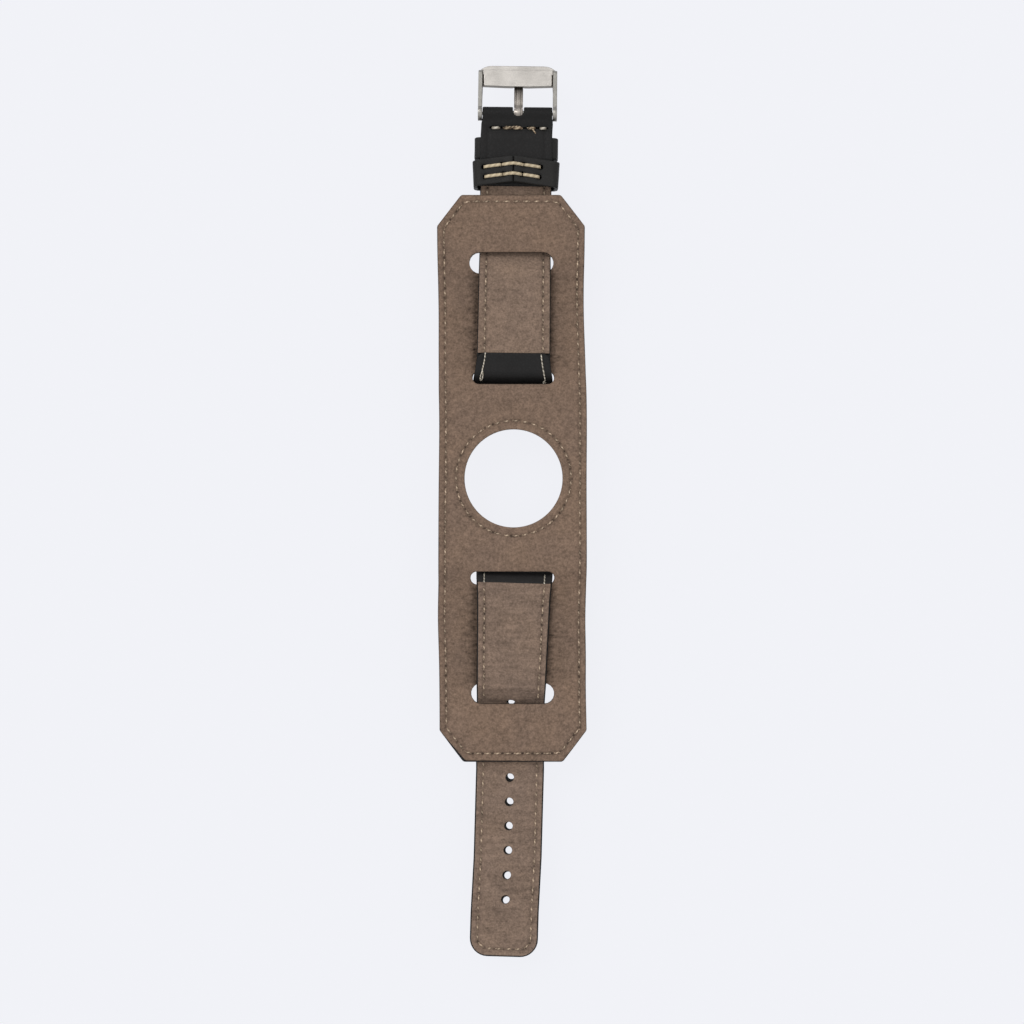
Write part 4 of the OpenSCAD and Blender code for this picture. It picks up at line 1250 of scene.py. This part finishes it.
half = buckle_half(buckle_line)
first, last = buckle_line.find(BUCKLE_LUG_FLAP + 0.02), buckle_line.find(LINING_END - 0.02)
lining_seams = side_seams(half, first + 0.05, last - 2.77)
piece("buckle_strap_lining_sheet",
      leather([strip_outline(inset_half(half, LINING_INSET - 0.13), first, last)],
              LEATHER_T - HALF_T, HALF_T, wrap(buckle_line, buckle_turn), lining_seams,
              edge_r=0.3, pitch=(1.0, 0.8), groove=(0, 0.10),
              relief=lining_creases(2.3, first, last, SEAM_INSET + 0.5)),
      [strap_nubuck, brown_edge], "strap", ["buckle_strap_lining"])

# %% [markdown]
# ## The tail strap
#
# The tail is made the same way, with a rounded tip and nine punched holes. Each hole in the calf
# is set a little to one side, so a crescent of the black outer leather shows inside it as painted
# shadow.


# %% The tail strap's calf and lining
def tail_half(line):
    def half(s):
        y = float(np.interp(s, line.s, line.points[:, 0]))
        return float(narrowed(TAIL_W, y))
    return half


def punched(line, radius, shadow_offset=0.0):
    """The holes, from the tip, set aside by the last argument so black calf shows as painted
    shadow.
    """
    holes = []
    for k in range(HOLES):
        s = line.find(TAIL_END - HOLE_MARGIN - k * HOLE_PITCH, line.length - 90)
        at_slot = k == HOLES - 1
        # Painted shadow: each calf hole is set off to one side, so black calf shows in the lining's
        # hole.
        hole_offset = shadow_offset if at_slot else shadow_offset * max(0.8 - 0.36 * k, -1.0)
        holes.append(arc_points(-shadow_offset, s + hole_offset - 1.2 * at_slot, radius, 0, 360, 24)[:-1])
    return holes


def tip_seam(line, half, first):
    """One seam that runs down one side, round the tip and back up the other side."""
    end = line.length - SEAM_INSET - 0.3
    r = TAIL_CORNER_R - SEAM_INSET
    x = TAIL_W / 2 - SEAM_INSET
    down = [(half(s) - SEAM_INSET, s) for s in np.linspace(first, end - r, 60)]
    turn = arc_points(x - r, end - r, r, 0, 90, 6)[1:]
    right = down + turn
    return Seam(right + [(-x, s) for x, s in reversed(right)], STRAP_PITCH)


half = tail_half(tail_calf)
piece("tail_strap_calf",
      leather([strip_outline(half, 0, tail_calf.length, (1.0, TAIL_CORNER_R))]
              + punched(tail_calf, HOLE_R - 0.06, 0.38),
              -SKIN, SKIN, wrap(tail_calf, tail_turn), [tip_seam(tail_calf, half, 0.8)], edge_r=0.3,
              pitch=(1.1, 0.9), groove=(0.07, 0), relief=lug_fill(tail_calf, TAIL_LUG_FLAP),
              # Painted light (negative shade) on the lug flap where it dives under the pad.
              shade=lambda x, s: -1.9 * span(s, 0.0, 1.6, 4.0, 6.0)),
      [black_calf, black_edge], "strap", ["tail_strap_leather"])

half = tail_half(tail_line)
first = tail_line.find(TAIL_LUG_FLAP + 0.02)
tail_seam = tip_seam(tail_line, half, first + 0.5)
piece("tail_strap_lining_sheet",
      leather([strip_outline(inset_half(half, LINING_INSET), first, tail_line.length - 0.45,
                             (0, TAIL_CORNER_R - 0.4))] + punched(tail_line, HOLE_R + 0.07),
              LEATHER_T - HALF_T, HALF_T, wrap(tail_line, tail_turn), [tail_seam], edge_r=0.26,
              pitch=(1.0, 0.8), groove=(0, 0.10),
              relief=lining_creases(5.9, first, tail_line.length + 6, SEAM_INSET + 0.5)),
      [tail_nubuck, brown_edge], "strap", ["tail_strap_lining"])

# %% [markdown]
# ## The straps' seams
#
# Both faces of each strap are sewn along their sides, and the tail round its tip. Only the runs
# that show are sewn here; inside the slots and under the flaps a thread would cut into the pad.


# %% Threads of the straps
def strap_threads(strap, line, turn, seams, last, lug_y, lug_flap):
    """The seams on both faces of a strap as far as last, and those of its lug flap."""
    sewing = new_sewing()
    wobble = random.Random(strap + "_threads")
    over_pad, dive, out, past_pad = [line.find(y) for y in (
        INNER_SLOT[1] + 0.4, OUTER_SLOT[1] - 1.5, OUTER_SLOT[1] + 0.6, PAD_END + 0.8)]
    lug_last = line.find(INNER_SLOT[0] - 1.2)
    height = HALF_T + 0.07
    for seam in seams:
        sew_seam(sewing, seam, height, 1, wobble,
                 lambda s: over_pad < s < dive or past_pad < s < last)
        sew_seam(sewing, seam, -height, -1, wobble, lambda s: out < s < last)
    for seam in side_seams(lambda s: LUG_W / 2, line.find(lug_y + 1.2), line.find(lug_flap)):
        sew_seam(sewing, seam, -height, -1, wobble, lambda s: s < lug_last)
    piece(strap + "_threads", lay_sewing(sewing, wrap(line, turn)), [fine_thread], "strap",
          [strap + "_stitches"])


strap_threads("buckle_strap", buckle_line, buckle_turn, lining_seams,
              buckle_line.find(FIXED_Y - 0.6), BUCKLE_LUG, BUCKLE_LUG_FLAP)
strap_threads("tail_strap", tail_line, tail_turn, [tail_seam], tail_line.length, TAIL_LUG,
              TAIL_LUG_FLAP)


# %% Threads of the lug flaps
# Each run is given as points beside the seam line: how far to the right, and how far down the flap.
LOOSE_LEFT = [(0.25, -0.3), (0.12, 1.6), (-0.05, 3.3), (-0.15, 4.6), (0.28, 5.6), (0.1, 7.3),
              (-0.22, 7.5), (-0.38, 6.2), (-0.15, 4.7)]
LOOSE_RIGHT = [(-0.35, 0.4), (-0.22, 2.2), (-0.08, 4.1), (0.05, 5.9), (0.15, 7.2), (-0.45, 7.7),
               (0.3, 8.1), (-0.6, 8.3)]
NEAT = [(0, -0.3), (0, 1.3), (0, 1.6), (0, 3.3)]


def flap_threads(name, line, turn, half, left, right):
    """The pale threads on the two sides of a lug flap, each through the points of its run."""
    sewing = new_sewing()
    for side, run in ((-1, left), (1, right)):
        for a, b in zip(run, run[1:]):
            x = [side * (half(s) - SEAM_INSET - 0.1) + dx for dx, s in (a, b)]
            sew(sewing, (x[0], a[1]), (x[1], b[1]), 0.17, -SKIN - 0.1, -0.12)
    return piece(name, lay_sewing(sewing, wrap(line, turn)), [pale_thread], "strap")


flap_threads("buckle_lug_flap_threads", buckle_calf, buckle_turn, buckle_half(buckle_calf),
             LOOSE_LEFT, LOOSE_RIGHT)
flap_threads("tail_lug_flap_threads", tail_calf, tail_turn, tail_half(tail_calf), NEAT, NEAT)

# %% [markdown]
# ## Keepers
#
# A keeper is a narrow band of calf bent into a loop. The fixed one has its ends sewn under the
# turned-back leather. The sliding one is butted on the back and held by coarse cream thread, whose
# ends go down into holes whose dark is painted shade. Its back rises to a slight ridge at the
# joint, so that its edges look like a shallow chevron.


# %% Loops for the keepers
JOINT_X = 0.7


def round_box(x, low, high, r, lift=0.0):
    """A keeper's side view as [x, z] points, from the middle of its back, clockwise, and back."""
    joint = (-JOINT_X, high + lift) if lift else (0, high)
    right = arc_points(x - r, high - r, r, 80 if lift else 90, 0, 6)
    bottom = arc_points(x - r, low + r, r, 0, -90, 6) + arc_points(-x + r, low + r, r, 270, 180, 6)
    left = arc_points(-x + r, high - r, r, 180, 100 if lift else 90, 6)
    return [joint] + right + bottom + left + [joint]


def keeper_lay(line, start_y, rise=0.0, split_z=0.0, width=0.0):
    """Flat s runs round the loop and flat x across the keeper, tighter towards the watch."""
    def lay(across, s, h):
        x, z = line.at(s, h)
        if width:
            x = x * (1 - 0.03 * (1 - across / width))
        back = smooth(z, split_z - 0.8, split_z + 0.4)
        peak = rise * (1 - np.minimum(np.abs(x + JOINT_X) / 11.2, 1))
        return buckle_turn(x, start_y + across + peak * back, z)
    return lay


def keeper_strip(line, width, gap):
    right = [(width, s) for s in np.linspace(gap, line.length - gap, 60)]
    return right + [(0, s) for _, s in reversed(right)]


# %% The fixed keeper
SKIVED_T = 0.6
FIXED_INNER, SLIDING_INNER = (BUCKLE_STRAP_W + 0.9) / 2, (BUCKLE_STRAP_W + 1.8) / 2
fixed_line = Line(round_box(FIXED_INNER + KEEPER_T / 2, FLOOR_Z + KEEPER_T / 2, FLAP_Z + 0.3, 1.1))


def thin_on_top(x, s, top, gaps):
    """The keeper is skived thin where its ends lie under the turned-back leather."""
    back = np.minimum(s, fixed_line.length - s)
    thinned = 1 - smooth(back, FIXED_INNER - 1.5, FIXED_INNER - 0.2)
    skive = thinned * (KEEPER_T - SKIVED_T) / 2
    return np.where(top, -skive, skive) + bumps(x, s, 2.5, 0.03, 8.8)


piece("fixed_keeper_band",
      leather([keeper_strip(fixed_line, FIXED_W, 0.1)], -KEEPER_T / 2, KEEPER_T / 2,
              keeper_lay(fixed_line, FIXED_Y), edge_r=0.32, pitch=(0.8, 0.6), relief=thin_on_top),
      [keeper_calf, black_edge], "strap", ["fixed_keeper"])

# %% The sliding keeper
KEEPER_BACK_Z = BUMP_Z + LEATHER_T + 0.15
KEEPER_LIFT, CHEVRON = 0.6, 1.45
sliding_line = Line(round_box(SLIDING_INNER + KEEPER_T / 2, FLOOR_Z + KEEPER_T / 2,
                              KEEPER_BACK_Z + KEEPER_T / 2, 1.3, KEEPER_LIFT), soften=5)
KEEPER_ROWS = ((0.31, ((-7.35, -2.75), (-2.6, 2.2), (2.45, 6.7))),
               (0.69, ((-7.6, -3.05), (-2.9, 2.6), (2.8, 7.0))))
keeper_ends = [(SLIDING_W * row, x % sliding_line.length)
               for row, stitches in KEEPER_ROWS for pair in stitches for x in pair]
keeper_pits = pits([((across, s), (across + 0.01, s)) for across, s in keeper_ends], 0.8)


def keeper_dents(x, s, top, gaps):
    """The leather dips at the butt joint and at both ends of every stitch."""
    joint = np.minimum(s, sliding_line.length - s)
    dents = -0.16 * swell(joint, 0, 0.7) - 0.45 * keeper_pits(x, s)
    return bumps(x, s, 3.0, 0.05, 6.1) + np.where(top, dents, 0)


sheet = leather([keeper_strip(sliding_line, SLIDING_W, 0.09)], -KEEPER_T / 2, KEEPER_T / 2,
                keeper_lay(sliding_line, SLIDING_Y, CHEVRON, KEEPER_BACK_Z - 0.8, SLIDING_W),
                edge_r=0.34, pitch=(0.3, 0.3), relief=keeper_dents,
                # Painted shade in the pits at the stitch ends.
                shade=lambda x, s: 0.75 * keeper_pits(x, s))
piece("sliding_keeper_band", holed(sheet, 0.25), [keeper_calf, black_edge, painted_pit_shade],
      "sliding_keeper", ["sliding_keeper"])

# %% [markdown]
# Six coarse cream stitches hold the joint: in each row one bridges it and one lies on each side.
# They run across the flat strip's length, so they are sewn along `s` and laid like the leather.


# %% Threads of the sliding keeper
def leaned(bm):
    """Leans sewing with the buckle strap."""
    for v in bm.verts:
        v.co = buckle_turn(*v.co)
    return bm


COARSE_R, COARSE_DIP = 0.42, 0.5
KEEPER_PEAK = KEEPER_BACK_Z + KEEPER_T + KEEPER_LIFT
KEEPER_FALL = KEEPER_LIFT / (SLIDING_INNER + KEEPER_T - 2.5)
KEEPER_BOW = CHEVRON / (SLIDING_INNER + KEEPER_T)


def keeper_thread(sewing, x0, x1, row):
    """A stitch from x0 to x1 beside the joint, a share of the width across the keeper."""
    y = SLIDING_Y + SLIDING_W * row + CHEVRON
    base = len(sewing.verts)
    sew(sewing, (x0, 0), (x1, 0), COARSE_R, 0.2, COARSE_DIP, blunt=True)
    for v in sewing.verts[base:]:
        x, across, z = v.co
        v.co = (x - JOINT_X, y - abs(x) * KEEPER_BOW + across,
                KEEPER_PEAK - abs(x) * KEEPER_FALL + z)


sewing = new_sewing()
for row, ends in KEEPER_ROWS:
    for x0, x1 in ends:
        keeper_thread(sewing, x0, x1, row)
piece("keeper_threads", leaned(sewing), [coarse_thread], "sliding_keeper",
      ["keeper_stitches"])

# %% [markdown]
# Close to the bar, a row of five stitches shuts the fold that carries the spring bar. The outer two
# are still pale. The three between are worn to tan, frayed, and one end stands loose.

# %% Threads of the fold
LOOSE = (((2.6, 0.1), (4.4, -0.3)), ((4.0, -0.2), (5.0, -1.5)), ((3.6, 0.3), (4.7, -1.1)),
         ((-2.9, 0.35), (-1.0, 0.15)), ((-1.3, 0.3), (0.9, 0.35)))
WORN_FROM, WORN_TO = -3.8, 5.1
FOLD_TOP_Z = FLAP_Z + LEATHER_T
sewing = new_sewing()
for a, b in FOLD_ENDS:
    sew(sewing, (a, FOLD_Y), (b, FOLD_Y), 0.36, FOLD_TOP_Z + 0.1, 0.42)
    sew(sewing, (a, FOLD_Y), (b, FOLD_Y), 0.3, STRAP_FACE_Z - 0.12, -0.42)
for a, b in LOOSE:
    sew(sewing, (a[0], FOLD_Y + a[1]), (b[0], FOLD_Y + b[1]), 0.17, FOLD_TOP_Z + 0.38, 0.3, 0.05)
for face in sewing.faces:
    face.material_index = 1 if WORN_FROM < face.calc_center_median().x < WORN_TO else 0
piece("fold_threads", leaned(sewing), [pale_thread, tan_thread], "strap",
      ["fold_stitches"])

# %% [markdown]
# ## The buckle
#
# The buckle is a stamped steel frame. Its arms are thicker than the plate, so the plate lies
# between them with a fine dark line at each side, painted shade in a groove. The side walls get a
# darker steel, painted shade too. The engineering model has its exact outline, so a copy of that
# mesh is welded, its flat faces are joined, and a bevel rounds every edge the way tumbling does.


# %% The buckle's frame and tongue
FLAT_FACE = 2.5
GROOVE_X, ARM_X = 8.78, 9.14


def welded(node):
    """A welded copy of an engineering part, in millimetres."""
    bm = bmesh.new()
    bm.from_mesh(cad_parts[node].data)
    bmesh.ops.scale(bm, vec=(1 / MM, 1 / MM, 1 / MM), verts=bm.verts[:])
    bmesh.ops.remove_doubles(bm, verts=bm.verts[:], dist=0.002)
    return bm


def tumbled(node, name, materials, body, radius):
    """A rounded copy of a steel part; arms may have their own finish, grooves and walls painted
    shade.
    """
    bm = welded(node)
    bmesh.ops.dissolve_limit(bm, angle_limit=math.radians(2), verts=bm.verts[:], edges=bm.edges[:])
    skin = BVHTree.FromBMesh(bm)
    steep = math.radians(35)
    sharp = [e for e in bm.edges if len(e.link_faces) == 2 and e.calc_face_angle() > steep]
    bmesh.ops.bevel(bm, geom=sharp, affect="EDGES", offset=radius, offset_type="OFFSET", segments=3,
                    profile=0.5, material=-1, clamp_overlap=False)
    stray = 0
    for v in bm.verts:
        nearest, _, _, gap = skin.find_nearest(v.co)
        if gap > radius * 0.5:
            v.co = nearest
            stray += 1
    print(name, "bevel points put back on the steel:", stray)
    for face in bm.faces:
        face.smooth = face.calc_area() < FLAT_FACE
        x, y, _ = face.calc_center_median()
        across = abs(x - STRAP_X - (y - SLOT_MIDDLE) * math.tan(math.radians(BUCKLE_LEAN)))
        if len(materials) > 1:
            # Painted shade: groove faces get the dark groove steel, side walls the darker edge
            # steel.
            in_groove = GROOVE_X < across < ARM_X and y > BAR_Y + 3 and abs(face.normal.y) < 0.4
            side = abs(face.normal.z) < 0.55 and abs(face.normal.x) < 0.8
            face.material_index = 2 if in_groove else 3 if side else 1 if across > ARM_X else 0
    return piece(name, bm, materials, body, [node])


frame_steels = [brushed_steel, arm_steel, groove_shade_steel, edge_steel]
tumbled("buckle_frame", "buckle_frame_polished", frame_steels, "frame", 0.14)
tumbled("buckle_tongue", "buckle_tongue_polished", [tongue_steel], "tongue", 0.26)

# %% [markdown]
# ## The coil in the spring bar
#
# Pressing a pin in shortens the coil inside the tube. The coil here is a copy of the engineering
# one, cut in half at its middle into one half towards each pin.

# %% Two halves of the coil
TUBE_GAP, CRIMP_L, COLLAR_L, COLLAR_ROOM = 0.48, 0.3, 0.7, 0.03
COLLAR_X = FRAME_GAP / 2 - TUBE_GAP - CRIMP_L - COLLAR_L - COLLAR_ROOM
coil_middle = Vector(buckle_turn(0.0, BAR_Y, BAR_Z))
for side, pin in ((-1, "pin_left"), (1, "pin_right")):
    tip = Vector(buckle_turn(side * COLLAR_X, BAR_Y, BAR_Z))
    bm = welded("spring_bar_spring")
    cut(bm, coil_middle, tip - coil_middle, clear=True)
    bmesh.ops.holes_fill(bm, edges=[e for e in bm.edges if e.is_boundary], sides=0)
    for face in bm.faces:
        face.smooth = True
    coil = piece("spring_coil_" + pin[4:], bm, [bar_steel], None,
                 ["spring_bar_spring"])
    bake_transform(coil)

# %% [markdown]
# ## Parts that keep their engineering shape
#
# The spring bar is a steel tube with two pins in it, and a thin fibre board stiffens the pad and
# each strap. Their shapes are already right, so they only get their finish.


# %% Fibre board, and the finish of the parts that stay
def fibre_board():
    finish = Finish("fibre board", specular_ior_level=0.2)
    fibres = finish.noise(0.6, detail=3.0, stretch=(1, 0.2, 1))
    flecks = finish.noise(2.0, detail=2.0)
    shaded = finish.toned(srgb(150, 124, 92), 0.75 + fibres * 0.35 + flecks * 0.15)
    return finish.connect(base_color=shaded, roughness=0.75 + fibres * 0.2, height=fibres * 0.02)


STIFF = ("pad_stiffener", "buckle_strap_stiffener", "tail_strap_stiffener")
BAR = ("spring_bar_tube", "spring_bar_pin_left", "spring_bar_pin_right")
for material, nodes in ((fibre_board(), STIFF), (bar_steel, BAR)):
    for node in nodes:
        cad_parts[node].material_slots[0].material = material
    print(material.name, "on", len(nodes), "parts that keep their shape")

# %% [markdown]
# ## Floor and light
#
# The strap lies on a pale sheet under one broad soft lamp at the upper left and an even white sky.
# Their sum is set so that a matt surface that faces up shows the colour it was given.
# The sheet lies a little lower than the strap, so that the buckle swings down without passing
# through it. Its shadow is so faint that the gap doesn't show.


# %% The floor
SWING_ROOM = 7.2


def floor_material():
    """A pale sheet. The camera and the steel see mostly its colour, with a faint shadow."""
    pale = srgb(241, 242, 247)
    finish = Finish("pale sheet", specular_ior_level=0.0, roughness=0.9)
    paper = finish.noise(1.5, detail=2.0)
    finish.connect(base_color=finish.toned(pale, 0.995 + paper * 0.01))
    rays = [finish.node("LightPath", output=ray)
            for ray in ("Is Camera Ray", "Is Glossy Ray", "Is Transmission Ray")]
    seen = (rays[0] + rays[1] + rays[2]).clamped()
    glow = finish.node("Emission", (), {"Color": pale, "Strength": 1.0})
    sheet = finish.node("MixShader", (), {0: seen * 0.95, 2: glow})
    finish.tree.links.new(finish.shader.outputs[0], sheet.socket.node.inputs[1])
    finish.tree.links.new(sheet.socket, finish.tree.nodes["Material Output"].inputs[0])
    return finish.material


floor_mesh = bmesh.new()
bmesh.ops.create_grid(floor_mesh, x_segments=4, y_segments=4, size=2.5)
floor_data = bpy.data.meshes.new("floor")
floor_mesh.to_mesh(floor_data)
floor_mesh.free()
floor_data.transform(Matrix.Translation((0, 0, (FLOOR_Z - SWING_ROOM) * MM)))
floor_data.materials.append(floor_material())
floor = add("floor", floor_data)

# %% The lamps
HORIZON, ZENITH = 0.28, 0.95
world = bpy.data.worlds.new("soft sky")
world.use_nodes = True
sky = world.node_tree
height = Value(sky, sky.nodes.new("ShaderNodeTexCoord").outputs["Generated"])
split = sky.nodes.new("ShaderNodeSeparateXYZ")
sky.links.new(height.socket, split.inputs[0])
bright = Value(sky, split.outputs[2]).math("MAXIMUM", 0.0) * (ZENITH - HORIZON) + HORIZON
sky.links.new(bright.socket, sky.nodes["Background"].inputs[1])
sky.nodes["Background"].inputs[0].default_value = (1, 1, 1, 1)
bpy.context.scene.world = world


def soft_sun(name, direction, strength, spread, glossy=True):
    """A lamp so far away that it lights everything alike. spread is how wide it looks."""
    lamp = bpy.data.lights.new(name, "SUN")
    lamp.energy = strength * math.pi
    lamp.angle = math.radians(spread)
    obj = add(name, lamp)
    obj.rotation_euler = Vector(direction).to_track_quat("Z", "Y").to_euler()
    obj.visible_glossy = glossy


soft_sun("key lamp", (-0.55, 0.6, 1.0), 0.30, 35)
soft_sun("fill lamp", (0.45, -0.25, 1.0), 0.08, 60, glossy=False)
bpy.context.scene.view_settings.view_transform = "Standard"
